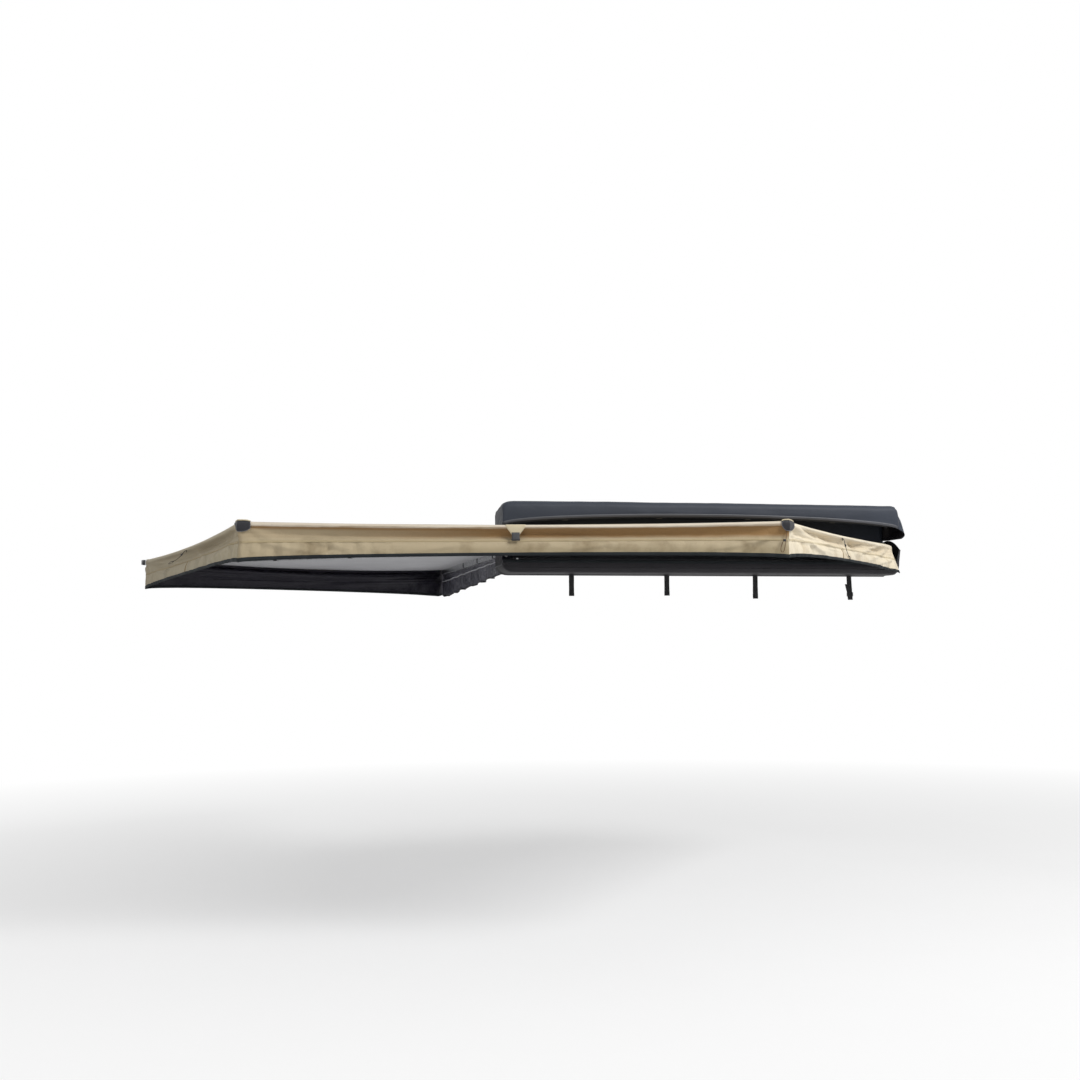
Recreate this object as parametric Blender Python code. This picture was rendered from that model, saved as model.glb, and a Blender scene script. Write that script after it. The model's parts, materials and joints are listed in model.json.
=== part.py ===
"""Free-standing wrap-round side awning for a vehicle's roof rack, shown open.

Metres, +Z up. +X runs forward along the case, +Y points at the vehicle.
The origin is the centre of the middle rack bracket's flat underside.
"""
import math

import bmesh
import bpy
from mathutils import Matrix, Vector

# General clearances and sheet thicknesses
GAP = 0.0003
CLOTH = 0.0025
PVC = 0.0030

# Rack brackets
BRACKET_X = (-0.62, 0.0, 0.62)
BRACKET_THICK = 0.006
BRACKET_WIDTH = 0.070
BRACKET_HEIGHT = 0.098
FOOT_LENGTH = 0.085
FOOT_SLOT_WIDTH = 0.009
FOOT_SLOT_LENGTH = 0.036
FOOT_SLOT_SPREAD = 0.040
BOLT_SPREAD = 0.040

# Case: back plate, back panel, lid and tray
CASE_LENGTH = 2.500
HUB_Z = 0.050
PANEL_THICK = 0.0020
PLATE_THICK = 0.018
PLATE_HEIGHT = 0.120
SLOT_RISE = 0.030
SLOT_MOUTH = 0.0084
SLOT_INSIDE = 0.0150
SLOT_LIP = 0.0030
SLOT_DEPTH = 0.0085
LID_HINGE_RISE = 0.200
TRAY_HINGE_DROP = 0.160
HINGE_ROOM = 0.0018
CASE_DEPTH = 0.244
LID_FRONT_END = 0.122
LID_FRONT_MIDDLE = 0.188
LID_TOP = 0.274
TRAY_BOTTOM = 0.153
TRAY_RIGHT_DIP = 0.005
TRAY_FRONT = 0.078
TRAY_END_FRONT = 0.004
TRAY_RISE_LENGTH = 0.020
END_ROUND = 0.075
PANEL_TAB_INSET = 0.012
PANEL_TAB_HIGH = 0.040
PANEL_TAB_LOW = 0.100
PANEL_TAB_RISE = 0.045
END_BULGE = 0.030
TRAY_BULGE = 0.006
TRAY_ARCH = 0.030
BULGE_START = 0.30
LID_END_FALL = 0.5
END_TUCK = 0.002
RIGHT_ROUND = 0.040
SLIDER_PARK = 0.090
TAPE_START = 0.045
LID_LEFT_REAR = 0.055
LID_RIGHT_REAR = 0.066
LID_RIGHT_FRONT = 0.066
TRAY_LEFT_REAR = 0.040
TRAY_LEFT_FRONT = 0.050
TRAY_RIGHT_REAR = 0.056
TAPE_HEIGHT = 0.020
TAPE_THICK = 0.0012
TAPE_PROUD = 0.007
ZIP_END = 0.075
LID_LIP = 0.995
TRAY_LIP = 0.990

# Hub
PIN_INSET = 0.050
PIN_RADIUS = 0.006
PIN_CLEAR = 0.0003
HUB_REACH = 0.066
HUB_FLANGE_START = 0.056
HUB_FLANGE_LENGTH = 0.110
HUB_FLANGE_THICK = 0.008
HUB_SHOULDER = 0.001
HUB_RADIUS = 0.024
HUB_PLATE = 0.006
BOSS_RADIUS = 0.020
NECK_REACH = 0.01856
NECK_HALF_WIDTH = 0.0115
WASHER_RADIUS = 0.017
LAYER_GAP = 0.003
WASHER_ROOM = 0.002
BOLT_RADIUS = 0.004

# Arms
ARM_ANGLES = (67.0, 130.0, 207.0, 268.0)
ARM_SIDE_STEP = 0.034
TUBE_WIDTH = 0.025
TUBE_HEIGHT = 0.030
TUBE_WALL = 0.002
TUBE_START = 0.090
PLUG_LENGTH = 0.060
SINGLE_BLOCK_START = 0.066
DOUBLE_BLOCK_START = 0.048
EAR_THICK = 0.007
KNUCKLE_PLAY = 0.0004
TIP_DROOP = 0.030
CORNER_INSET = 0.050
TIP_INSET = 0.012
STUB_PROUD = 0.025
CAP_LENGTH = 0.008
RIVET_RADIUS = 0.003
RIVET_HEAD = 0.0055
RIVET_PROUD = 0.0022

# Canopy
ROOF_START = 0.170
ROOF_SAGS = (0.004, 0.014, 0.012, 0.028)
ARM_MARGIN = 0.022
SEAM_GAP = 0.0006
TAB_THICK = 0.002
EDGE_HOLLOW = 0.030
RAIL_RISE = 0.040
RAIL_HEIGHT = 0.012
RAIL_THICK = 0.004
RAIL_SWING = 0.300
FRONT_CORNER_OUT = 0.172
FRONT_CORNER_RISE = 0.024
SKIRT_DEPTH = 0.175
SKIRT_END_CUT = 0.017
HEM_LIFTS = (0.036, 0.036, 0.036, 0.048)
EDGE_DEPTHS = (0.172, 0.172, 0.186, 0.186, 0.204)
FRONT_END_LEAN = 0.040
SKIRT_BASE = 0.0014
SKIRT_ROLL = 0.008
ROOF_STEPS = 10
ROOF_RINGS = 6
FLAP_STEPS = 22
FLAP_HUB_DEPTH = 0.110
FLAP_END_DEPTH = 0.176
FLAP_END_INSET = 0.012
FLAP_RIPPLE = 0.006
FLAP_SCALLOP = 0.005
TIE_CORD_RADIUS = 0.0015
SEAM_DROP = 0.018
CORNER_CORD_SHIFT = 0.012
STRAP_X = (-0.780, -0.178, 0.395, 1.015)
STRAP_LEANS = (0.003, 0.004, 0.004, 0.014)
STRAP_WIDTH = 0.032
BUCKLE_SHARE = 0.88
BUCKLE_HEIGHT = 0.026
STRAP_THICK = 0.0025
STRAP_START_DROP = 0.030
STRAP_END_DROPS = (0.283, 0.280, 0.298, 0.305)

# Places worked out from the sizes above
PANEL_REAR = -FOOT_LENGTH / 2 - GAP
PLATE_REAR = PANEL_REAR - PANEL_THICK - GAP
PLATE_FRONT = PLATE_REAR - PLATE_THICK
CORNER_RADIUS = CASE_LENGTH - PIN_INSET - CORNER_INSET
CASE_LEFT = -CASE_LENGTH / 2
CASE_RIGHT = CASE_LENGTH / 2
PIN = Vector((CASE_LEFT + PIN_INSET, PLATE_FRONT - GAP - HUB_REACH, HUB_Z))
LID_HINGE_Y = PANEL_REAR - PANEL_THICK / 2
TRAY_HINGE_Y = PANEL_REAR - PVC / 2 - 0.0008
LAYER_RISE = TUBE_HEIGHT / 2 + LAYER_GAP / 2
HUB_INSIDE = LAYER_RISE + TUBE_HEIGHT / 2 + WASHER_ROOM
SINGLE_BOSS = TUBE_HEIGHT - 2 * EAR_THICK - 2 * KNUCKLE_PLAY
DROOP_SLOPE = TIP_DROOP / (CORNER_RADIUS - TUBE_START)
PLATE_START = PIN.x + HUB_FLANGE_START
PLATE_END = CASE_RIGHT - 0.030
SKIRT_FACE = SKIRT_BASE + SKIRT_ROLL + CLOTH / 2
SHORT_ARM = CORNER_RADIUS - TIP_INSET
LONG_ARM = CORNER_RADIUS + STUB_PROUD
ARM_LENGTHS = (SHORT_ARM, SHORT_ARM, LONG_ARM, SHORT_ARM)

for old in list(bpy.data.objects):
    bpy.data.objects.remove(old, do_unlink=True)


def material(name, colour, roughness, metallic=0.0):
    """A Principled material, made once for each name."""
    found = bpy.data.materials.get(name)
    if found:
        return found
    made = bpy.data.materials.new(name)
    made.use_nodes = True
    shader = made.node_tree.nodes["Principled BSDF"]
    shader.inputs["Base Color"].default_value = (*colour, 1.0)
    shader.inputs["Roughness"].default_value = roughness
    shader.inputs["Metallic"].default_value = metallic
    made.diffuse_color = (*colour, 1.0)
    return made


ALUMINIUM = material("mill_aluminium", (0.62, 0.63, 0.64), 0.38, 1.0)
BLACK_METAL = material("black_powder_coat", (0.03, 0.03, 0.033), 0.45, 0.6)
STEEL = material("zinc_steel", (0.50, 0.51, 0.52), 0.35, 1.0)
NYLON = material("black_nylon", (0.02, 0.02, 0.022), 0.55)
TAN = material("tan_ripstop", (0.50, 0.38, 0.21), 0.85)
GREY = material("grey_lining", (0.20, 0.20, 0.21), 0.80)
BLACK_PVC = material("black_pvc", (0.035, 0.04, 0.045), 0.50)
WEBBING = material("black_webbing", (0.015, 0.015, 0.016), 0.80)


def finish(name, bm, surface, origin=(0.0, 0.0, 0.0), smooth=False):
    """Turn a bmesh in world coordinates into an object whose origin is given."""
    bm.normal_update()
    bmesh.ops.recalc_face_normals(bm, faces=bm.faces)
    mesh = bpy.data.meshes.new(name)
    bm.to_mesh(mesh)
    bm.free()
    mesh.transform(Matrix.Translation(-Vector(origin)))
    mesh.materials.append(surface)
    if smooth:
        mesh.shade_smooth()
        mesh.set_sharp_from_angle(angle=math.radians(35))
    made = bpy.data.objects.new(name, mesh)
    made.location = origin
    bpy.context.scene.collection.objects.link(made)
    return made


def add_box(bm, low, high):
    """Add a closed box between two corners."""
    centre = [(a + b) / 2 for a, b in zip(low, high)]
    size = [b - a for a, b in zip(low, high)]
    place = Matrix.Translation(centre) @ Matrix.Diagonal((*size, 1.0))
    return bmesh.ops.create_cube(bm, size=1.0, matrix=place)["verts"]


def add_cylinder(bm, start, end, radius, sides=20):
    """Add a closed cylinder between two points."""
    start = Vector(start)
    end = Vector(end)
    way = end - start
    turn = way.to_track_quat("Z", "Y").to_matrix().to_4x4()
    place = Matrix.Translation((start + end) / 2) @ turn
    return bmesh.ops.create_cone(bm, cap_ends=True, segments=sides, radius1=radius,
                                 radius2=radius, depth=way.length, matrix=place)["verts"]


def add_prism(bm, outline, low, high):
    """Extrude an outline of (x, y) points from z = low to z = high."""
    base = [bm.verts.new((x, y, low)) for x, y in outline]
    face = bm.faces.new(base)
    top = bmesh.ops.extrude_face_region(bm, geom=[face])["geom"]
    moved = [v for v in top if isinstance(v, bmesh.types.BMVert)]
    bmesh.ops.translate(bm, verts=moved, vec=(0.0, 0.0, high - low))
    return base + moved


def add_ring(bm, centre, inner, outer, low, high, sides=24):
    """Add a flat washer with a real hole round a vertical axis."""
    rows = []
    for radius, z in ((inner, low), (outer, low), (outer, high), (inner, high)):
        rows.append([bm.verts.new((centre[0] + radius * math.cos(math.tau * i / sides),
                                   centre[1] + radius * math.sin(math.tau * i / sides), z))
                     for i in range(sides)])
    for row, after in zip(rows, rows[1:] + rows[:1]):
        for i in range(sides):
            j = (i + 1) % sides
            bm.faces.new((row[i], row[j], after[j], after[i]))


def add_hex(bm, centre, axis, radius, thick):
    """Add a hexagonal nut or head that starts at centre and runs along axis."""
    start = Vector(centre)
    return add_cylinder(bm, start, start + Vector(axis) * thick, radius, sides=6)


def cutter(bm, name):
    """A hidden object that only cuts others."""
    made = finish(name, bm, STEEL)
    made.hide_render = True
    made.display_type = "WIRE"
    return made


def cut(target, tool, operation="DIFFERENCE"):
    """Give the target an exact Boolean with a hidden cutter."""
    step = target.modifiers.new(operation.title(), "BOOLEAN")
    step.operation = operation
    step.solver = "EXACT"
    step.object = tool
    return step


def sheet(name, rows, surface, thick, origin):
    """A closed sheet: a grid of points thickened by Solidify."""
    bm = bmesh.new()
    grid = [[bm.verts.new(p) for p in row] for row in rows]
    for row, after in zip(grid, grid[1:]):
        for a, b, c, d in zip(row, row[1:], after[1:], after):
            bm.faces.new((a, b, c, d))
    made = finish(name, bm, surface, origin, smooth=True)
    wall = made.modifiers.new("Thickness", "SOLIDIFY")
    wall.thickness = thick
    wall.offset = 0.0
    wall.use_even_offset = True
    wall.use_rim = True
    return made


def mix(a, b, share):
    """Point or number between a and b."""
    return a + (b - a) * share


def smooth_step(value):
    """Ease from 0 to 1."""
    value = min(1.0, max(0.0, value))
    return value * value * (3.0 - 2.0 * value)


def bow(share):
    """A shallow arch: 0 at both ends, 1 in the middle."""
    return 4.0 * share * (1.0 - share)


# Rack brackets and the bolts that clamp them to the back plate

def bolt_places():
    """Every stud: two for each bracket, through the plate's upper rear slot."""
    return [(x + side * BOLT_SPREAD / 2, HUB_Z + SLOT_RISE) for x in BRACKET_X for side in (-1, 1)]


def rack_bracket(index, x):
    """An L bracket whose foot lies on the rack bar."""
    front = PANEL_REAR + GAP
    half = BRACKET_WIDTH / 2
    bm = bmesh.new()
    outline = [(front, 0.0), (front + FOOT_LENGTH, 0.0), (front + FOOT_LENGTH, BRACKET_THICK),
               (front + BRACKET_THICK, BRACKET_THICK), (front + BRACKET_THICK, BRACKET_HEIGHT),
               (front, BRACKET_HEIGHT)]
    ring = [bm.verts.new((x - half, y, z)) for y, z in outline]
    face = bm.faces.new(ring)
    grown = bmesh.ops.extrude_face_region(bm, geom=[face])["geom"]
    moved = [v for v in grown if isinstance(v, bmesh.types.BMVert)]
    bmesh.ops.translate(bm, verts=moved, vec=(BRACKET_WIDTH, 0.0, 0.0))
    made = finish(f"rack_bracket_{index}", bm, BLACK_METAL, (x, 0.0, 0.0))

    holes = bmesh.new()
    for side in (-1, 1):
        middle = x + side * FOOT_SLOT_SPREAD / 2
        start = front + BRACKET_THICK + 0.030
        add_box(holes, (middle - FOOT_SLOT_WIDTH / 2, start, -0.01),
                (middle + FOOT_SLOT_WIDTH / 2, start + FOOT_SLOT_LENGTH, 0.02))
    for bolt_x, z in bolt_places():
        if abs(bolt_x - x) < half:
            add_cylinder(holes, (bolt_x, front - 0.01, z), (bolt_x, front + 0.02, z),
                         BOLT_RADIUS + GAP)
    cut(made, cutter(holes, f"bracket_holes_{index}"))


def bracket_clamp(index, x):
    """T-bar in the upper slot with two studs and nuts that clamp a bracket."""
    z = HUB_Z + SLOT_RISE
    head_front = PLATE_REAR - SLOT_LIP - GAP
    nut_rear = PANEL_REAR + GAP + BRACKET_THICK + GAP
    half = SLOT_INSIDE / 2 - GAP * 2
    reach = BOLT_SPREAD / 2
    bm = bmesh.new()
    add_box(bm, (x - reach - 0.008, head_front - 0.004, z - half), (x + reach + 0.008, head_front, z + half))
    made = finish(f"bracket_clamp_{index}", bm, STEEL, (x, 0.0, 0.0))
    studs = bmesh.new()
    nuts = bmesh.new()
    for side in (-1, 1):
        middle = x + side * reach
        add_cylinder(studs, (middle, head_front - 0.002, z), (middle, nut_rear + 0.0085, z), BOLT_RADIUS)
        add_hex(nuts, (middle, nut_rear, z), (0, 1, 0), 0.0075, 0.0065)
    cut(made, cutter(studs, f"clamp_studs_{index}"), "UNION")
    cut(made, cutter(nuts, f"clamp_nuts_{index}"), "UNION")


# Case

def back_plate():
    """Extruded plate with two T-slots in its rear face."""
    bm = bmesh.new()
    low = HUB_Z - PLATE_HEIGHT / 2
    high = HUB_Z + PLATE_HEIGHT / 2
    outline = [(PLATE_FRONT, low), (PLATE_REAR, low)]
    for side in (-1, 1):
        z = HUB_Z + side * SLOT_RISE
        mouth = SLOT_MOUTH / 2
        inside = SLOT_INSIDE / 2
        lip = PLATE_REAR - SLOT_LIP
        floor = PLATE_REAR - SLOT_DEPTH
        outline += [(PLATE_REAR, z - mouth), (lip, z - mouth), (lip, z - inside), (floor, z - inside),
                    (floor, z + inside), (lip, z + inside), (lip, z + mouth), (PLATE_REAR, z + mouth)]
    outline += [(PLATE_REAR, high), (PLATE_FRONT, high)]
    ring = [bm.verts.new((PLATE_START, y, z)) for y, z in outline]
    face = bm.faces.new(ring)
    grown = bmesh.ops.extrude_face_region(bm, geom=[face])["geom"]
    moved = [v for v in grown if isinstance(v, bmesh.types.BMVert)]
    bmesh.ops.translate(bm, verts=moved, vec=(PLATE_END - PLATE_START, 0.0, 0.0))
    made = finish("back_plate", bm, ALUMINIUM)
    holes = bmesh.new()
    for x, z in hub_bolt_places():
        add_cylinder(holes, (x, PLATE_FRONT - 0.01, z), (x, PLATE_FRONT + 0.0095, z), BOLT_RADIUS + GAP)
    cut(made, cutter(holes, "plate_holes"))


def hub_bolt_places():
    """Two bolts through the hub bracket's flange."""
    start = PIN.x + HUB_FLANGE_START
    return [(start + share * HUB_FLANGE_LENGTH, HUB_Z) for share in (0.25, 0.78)]


def bag_back_panel():
    """PVC panel clamped between the back plate and the brackets."""
    bm = bmesh.new()
    add_box(bm, (PLATE_START, PANEL_REAR - PANEL_THICK, HUB_Z - TRAY_HINGE_DROP + HINGE_ROOM),
            (CASE_RIGHT - 0.006, PANEL_REAR, HUB_Z + LID_HINGE_RISE - HINGE_ROOM))
    made = finish("bag_back_panel", bm, BLACK_PVC)
    tab_top = HUB_Z + LID_HINGE_RISE - HINGE_ROOM
    for low, high in ((HUB_Z - PANEL_TAB_LOW, HUB_Z - PANEL_TAB_HIGH), (HUB_Z + PANEL_TAB_RISE, tab_top)):
        tab = bmesh.new()
        add_box(tab, (CASE_LEFT + PANEL_TAB_INSET, PANEL_REAR - PANEL_THICK, low),
                (PLATE_START + 0.010, PANEL_REAR, high))
        cut(made, cutter(tab, "panel_hub_tab"), "UNION")
    holes = bmesh.new()
    for x, z in bolt_places():
        add_cylinder(holes, (x, PANEL_REAR - 0.01, z), (x, PANEL_REAR + 0.01, z), BOLT_RADIUS + GAP)
    cut(made, cutter(holes, "panel_holes"))


def lid_edge(x):
    """Height of the lid's front lower edge above the hub: an arch along the bag."""
    share = (x - CASE_LEFT) / CASE_LENGTH
    return mix(LID_FRONT_END, LID_FRONT_MIDDLE, bow(share) ** 0.5 if 0 < share < 1 else 0.0)


def lid_profile(x):
    """Lid section from its hinge, over the top and down to the front edge."""
    deep = CASE_DEPTH
    edge = lid_edge(x)
    top = LID_TOP - LID_END_FALL * end_lift(x)
    shape = [(0.0, LID_HINGE_RISE), (0.06, mix(LID_HINGE_RISE, top, 0.25)),
             (0.10, mix(LID_HINGE_RISE, top, 0.5)),
             (0.30, top - deep * 0.074), (0.60, top - deep * 0.016), (0.82, top),
             (0.92, top - deep * 0.025), (0.98, top - deep * 0.098), (1.0, top - deep * 0.205),
             (1.005, mix(top - deep * 0.205, edge, 0.5)), (LID_LIP, edge)]
    return [(LID_HINGE_Y - share * deep, HUB_Z + z) for share, z in shape]


def tray_edge(x):
    """Drop of the tray's upper edge below the hub; the front end stands higher."""
    rise = smooth_step((x - (CASE_RIGHT - TRAY_RISE_LENGTH)) / TRAY_RISE_LENGTH)
    return mix(TRAY_FRONT, TRAY_END_FRONT, rise)


def end_lift(x):
    """How far the tray's bottom rises where its left end is rounded."""
    near = END_ROUND - (x - CASE_LEFT)
    if near <= 0:
        return 0.0
    return END_ROUND - math.sqrt(max(0.0, END_ROUND ** 2 - near ** 2))


def tray_profile(x):
    """Tray section from its hinge, under the load and up to the front edge."""
    deep = CASE_DEPTH
    edge = tray_edge(x)
    dip = TRAY_RIGHT_DIP * smooth_step((x - 0.64 * CASE_RIGHT) / (0.36 * CASE_RIGHT))
    base = TRAY_BOTTOM + dip - 0.8 * end_lift(x)
    hinge = TRAY_HINGE_DROP - 0.8 * end_lift(x)
    shape = [(0.0, hinge), (0.06, mix(hinge, base, 0.6)), (0.16, base - deep * 0.004),
             (0.40, base), (0.72, base), (0.90, base - deep * 0.02), (0.97, base - deep * 0.09),
             (0.995, mix(base, TRAY_FRONT, 0.49)), (1.0, mix(base, TRAY_FRONT, 0.75)), (TRAY_LIP, edge)]
    return [(TRAY_HINGE_Y - share * deep, HUB_Z - z) for share, z in shape]


def end_row(profile, x, rear, front, arch=0.0):
    """The free edge of an end wall: from its rear to its front height, arched or straight."""
    first = profile[0][0]
    last = profile[-1][0]
    shares = [index / (len(profile) - 1) for index in range(len(profile))]
    return [Vector((x, mix(first, last, share), mix(rear, front, share) + arch * bow(share)))
            for share in shares]


def drawn_in(profile, x, share):
    """A section drawn in towards its own chord, for the bag's rounded ends."""
    row = []
    first = profile[0]
    last = profile[-1]
    for index, (y, z) in enumerate(profile):
        place = index / (len(profile) - 1)
        chord = (mix(first[0], last[0], place), mix(first[1], last[1], place))
        row.append(Vector((x, mix(y, chord[0], share), mix(z, chord[1], share))))
    return row


def bag_rows(profile_at, left_edge, right_edge, swell):
    """Rows of a half bag: left end wall, long body, bulging right end wall."""
    left = CASE_LEFT
    right = CASE_RIGHT
    rows = [end_row(profile_at(left), left + END_TUCK, *left_edge)]
    for part, share in ((0.0, 0.30), (0.05, 0.10), (0.20, 0.02), (0.50, 0.0), (1.0, 0.0)):
        x = left + part * END_ROUND
        rows.append(drawn_in(profile_at(x), x, share))
    steps = 10
    for index in range(1, steps):
        x = mix(left + END_ROUND, right - RIGHT_ROUND, index / steps)
        rows.append(drawn_in(profile_at(x), x, 0.0))
    for part, share in ((1.0, 0.0), (0.45, 0.05), (0.12, 0.16), (0.0, 0.30)):
        x = right - part * RIGHT_ROUND
        rows.append(drawn_in(profile_at(x), x, share))
    wall = end_row(profile_at(right), right, *right_edge)
    rim = rows[-1]
    count = len(rim)
    bulges = [swell * smooth_step(i / (count - 1) / BULGE_START) for i in range(count)]
    rows.append([mix(rim[i], wall[i], 0.5) + Vector((1.25 * bulges[i], 0.0, 0.0)) for i in range(count)])
    rows.append([wall[i] + Vector((bulges[i] / 2, 0.0, 0.0)) for i in range(count)])
    return rows


def bag_lid():
    """Upper half of the bag, hinged along the back panel's top edge."""
    left_edge = (HUB_Z + LID_LEFT_REAR, HUB_Z + LID_FRONT_END)
    right_edge = (HUB_Z + LID_RIGHT_REAR, HUB_Z + LID_RIGHT_FRONT)
    sheet("bag_lid", bag_rows(lid_profile, left_edge, right_edge, END_BULGE), BLACK_PVC, PVC,
          (0.0, LID_HINGE_Y, HUB_Z + LID_HINGE_RISE))


def bag_tray():
    """Lower half of the bag, hinged along the back panel's bottom edge."""
    left_edge = (HUB_Z - TRAY_LEFT_REAR, HUB_Z - TRAY_LEFT_FRONT)
    right_edge = (HUB_Z + TRAY_RIGHT_REAR, HUB_Z - TRAY_END_FRONT, TRAY_ARCH)
    sheet("bag_tray", bag_rows(tray_profile, left_edge, right_edge, TRAY_BULGE), BLACK_PVC, PVC,
          (0.0, TRAY_HINGE_Y, HUB_Z - TRAY_HINGE_DROP))


def tape_place(hinge_y, share):
    """Y of a zip tape's middle, just inside a front wall at a share of the depth."""
    return hinge_y - CASE_DEPTH * share + PVC / 2 + 2 * GAP + TAPE_THICK / 2


def zip_tapes():
    """Zip tapes sewn inside the free front edges of lid and tray."""
    start = CASE_LEFT + TAPE_START
    end = CASE_RIGHT - ZIP_END
    steps = 10
    lid_rows = []
    tray_rows = []
    high = HUB_Z - TRAY_FRONT + TAPE_PROUD
    for index in range(steps + 1):
        x = mix(start, end, index / steps)
        low = HUB_Z + lid_edge(x) - TAPE_PROUD
        y = tape_place(LID_HINGE_Y, LID_LIP)
        lid_rows.append([Vector((x, y - lean, low + TAPE_HEIGHT * share))
                         for share, lean in ((0.0, 0.0), (0.5, 0.0004), (1.0, 0.0008))])
        y = tape_place(TRAY_HINGE_Y, TRAY_LIP)
        tray_rows.append([Vector((x, y - lean, high - TAPE_HEIGHT * share))
                          for share, lean in ((0.0, 0.0), (0.5, 0.0002), (1.0, 0.0010))])
    sheet("lid_zip_tape", lid_rows, WEBBING, TAPE_THICK, (0.0, LID_HINGE_Y, HUB_Z + LID_HINGE_RISE))
    sheet("tray_zip_tape", tray_rows, WEBBING, TAPE_THICK, (0.0, TRAY_HINGE_Y, HUB_Z - TRAY_HINGE_DROP))


def zip_slider():
    """Slider that straddles the tray's zip tape."""
    x = CASE_LEFT + SLIDER_PARK
    tape_y = tape_place(TRAY_HINGE_Y, TRAY_LIP)
    top = HUB_Z - TRAY_FRONT + TAPE_PROUD
    side = TAPE_THICK / 2 + 2 * GAP
    leg = 0.0045
    wall = 0.0016
    bm = bmesh.new()
    outline = [(-side - wall, -leg), (-side, -leg), (-side, 2 * GAP), (side, 2 * GAP), (side, -leg),
               (side + wall, -leg), (side + wall, 0.0032), (-side - wall, 0.0032)]
    ring = [bm.verts.new((x - 0.006, tape_y + y, top + z)) for y, z in outline]
    face = bm.faces.new(ring)
    grown = bmesh.ops.extrude_face_region(bm, geom=[face])["geom"]
    moved = [v for v in grown if isinstance(v, bmesh.types.BMVert)]
    bmesh.ops.translate(bm, verts=moved, vec=(0.012, 0.0, 0.0))
    finish("zip_slider", bm, STEEL, (x, tape_y, top))


def strap_point(index, share):
    """Middle of a strap: sewn behind the panel, then hanging free below it."""
    return Vector((STRAP_X[index - 1] + STRAP_LEANS[index - 1] * share ** 2,
                   PANEL_REAR + GAP + STRAP_THICK / 2 + 0.006 * smooth_step((share - 0.45) / 0.5),
                   HUB_Z - mix(STRAP_START_DROP, STRAP_END_DROPS[index - 1], share)))


def straps():
    """Compression straps sewn behind the back panel, hanging below the bag."""
    steps = 8
    half = Vector((STRAP_WIDTH / 2, 0.0, 0.0))
    for index in range(1, len(STRAP_X) + 1):
        rows = []
        for step in range(steps + 1):
            middle = strap_point(index, step / steps)
            rows.append([middle - half, middle, middle + half])
        sheet(f"strap_{index}", rows, WEBBING, STRAP_THICK, strap_point(index, 0.0))


def strap_buckle():
    """Sliding buckle round the front strap, above its free end."""
    last = len(STRAP_X)
    middle = strap_point(last, BUCKLE_SHARE)
    wide = STRAP_WIDTH / 2 + GAP * 2
    room = STRAP_THICK / 2 + GAP * 3
    wall = 0.003
    outer = [(-wide - wall, -room - wall), (wide + wall, -room - wall), (wide + wall, room + wall),
             (-wide - wall, room + wall)]
    inner = [(-wide, -room), (wide, -room), (wide, room), (-wide, room)]
    bm = bmesh.new()
    add_sleeve(bm, [(middle.x + x, middle.y + y) for x, y in outer],
               [(middle.x + x, middle.y + y) for x, y in inner], middle.z - BUCKLE_HEIGHT / 2,
               middle.z + BUCKLE_HEIGHT / 2)
    for vert in bm.verts:
        share = (HUB_Z - STRAP_START_DROP - vert.co.z) / (STRAP_END_DROPS[-1] - STRAP_START_DROP)
        vert.co.x += strap_point(last, share).x - middle.x
    finish("strap_buckle", bm, NYLON, middle)


def add_sleeve(bm, outer, inner, low, high):
    """A closed sleeve between two outlines with the same number of points."""
    count = len(outer)
    rows = []
    for outline, z in ((outer, low), (outer, high), (inner, high), (inner, low)):
        rows.append([bm.verts.new((p[0], p[1], z)) for p in outline])
    for row, after in zip(rows, rows[1:] + rows[:1]):
        for i in range(count):
            j = (i + 1) % count
            bm.faces.new((row[i], row[j], after[j], after[i]))


def canopy_rail():
    """Keder rail that holds the canopy's first edge on the back plate."""
    bm = bmesh.new()
    low = HUB_Z + RAIL_RISE - RAIL_HEIGHT / 2
    start = PIN.x + HUB_FLANGE_START + HUB_FLANGE_LENGTH + 0.004
    add_box(bm, (start, PLATE_FRONT - GAP - RAIL_THICK, low),
            (PLATE_END - 0.02, PLATE_FRONT - GAP, low + RAIL_HEIGHT))
    finish("canopy_rail", bm, ALUMINIUM)


def arm_rest():
    """Shelf near the front end on which the folded arms' ends lie."""
    bm = bmesh.new()
    x = CASE_RIGHT - 0.24
    top = HUB_Z - LAYER_RISE - TUBE_HEIGHT / 2 - TIP_DROOP - 0.003
    rear = PLATE_FRONT - GAP
    outline = [(rear, top + 0.050), (rear - 0.004, top + 0.050), (rear - 0.004, top),
               (rear - 0.135, top), (rear - 0.135, top - 0.004), (rear, top - 0.004)]
    ring = [bm.verts.new((x, y, z)) for y, z in outline]
    face = bm.faces.new(ring)
    grown = bmesh.ops.extrude_face_region(bm, geom=[face])["geom"]
    moved = [v for v in grown if isinstance(v, bmesh.types.BMVert)]
    bmesh.ops.translate(bm, verts=moved, vec=(0.040, 0.0, 0.0))
    finish("arm_rest", bm, BLACK_METAL)


# Hub

def hub_outline():
    """Outline of a hub plate: round at the pin, square at the back plate."""
    start = HUB_FLANGE_START
    end = HUB_FLANGE_START + HUB_FLANGE_LENGTH
    points = []
    for index in range(13):
        angle = math.radians(mix(130.0, 325.0, index / 12))
        points.append((PIN.x + HUB_RADIUS * math.cos(angle), PIN.y + HUB_RADIUS * math.sin(angle)))
    flange_front = PLATE_FRONT - GAP - HUB_FLANGE_THICK - HUB_SHOULDER
    points += [(PIN.x + end, flange_front), (PIN.x + end, PLATE_FRONT - GAP),
               (PIN.x + start, PLATE_FRONT - GAP), (PIN.x + start, flange_front)]
    return points


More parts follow.
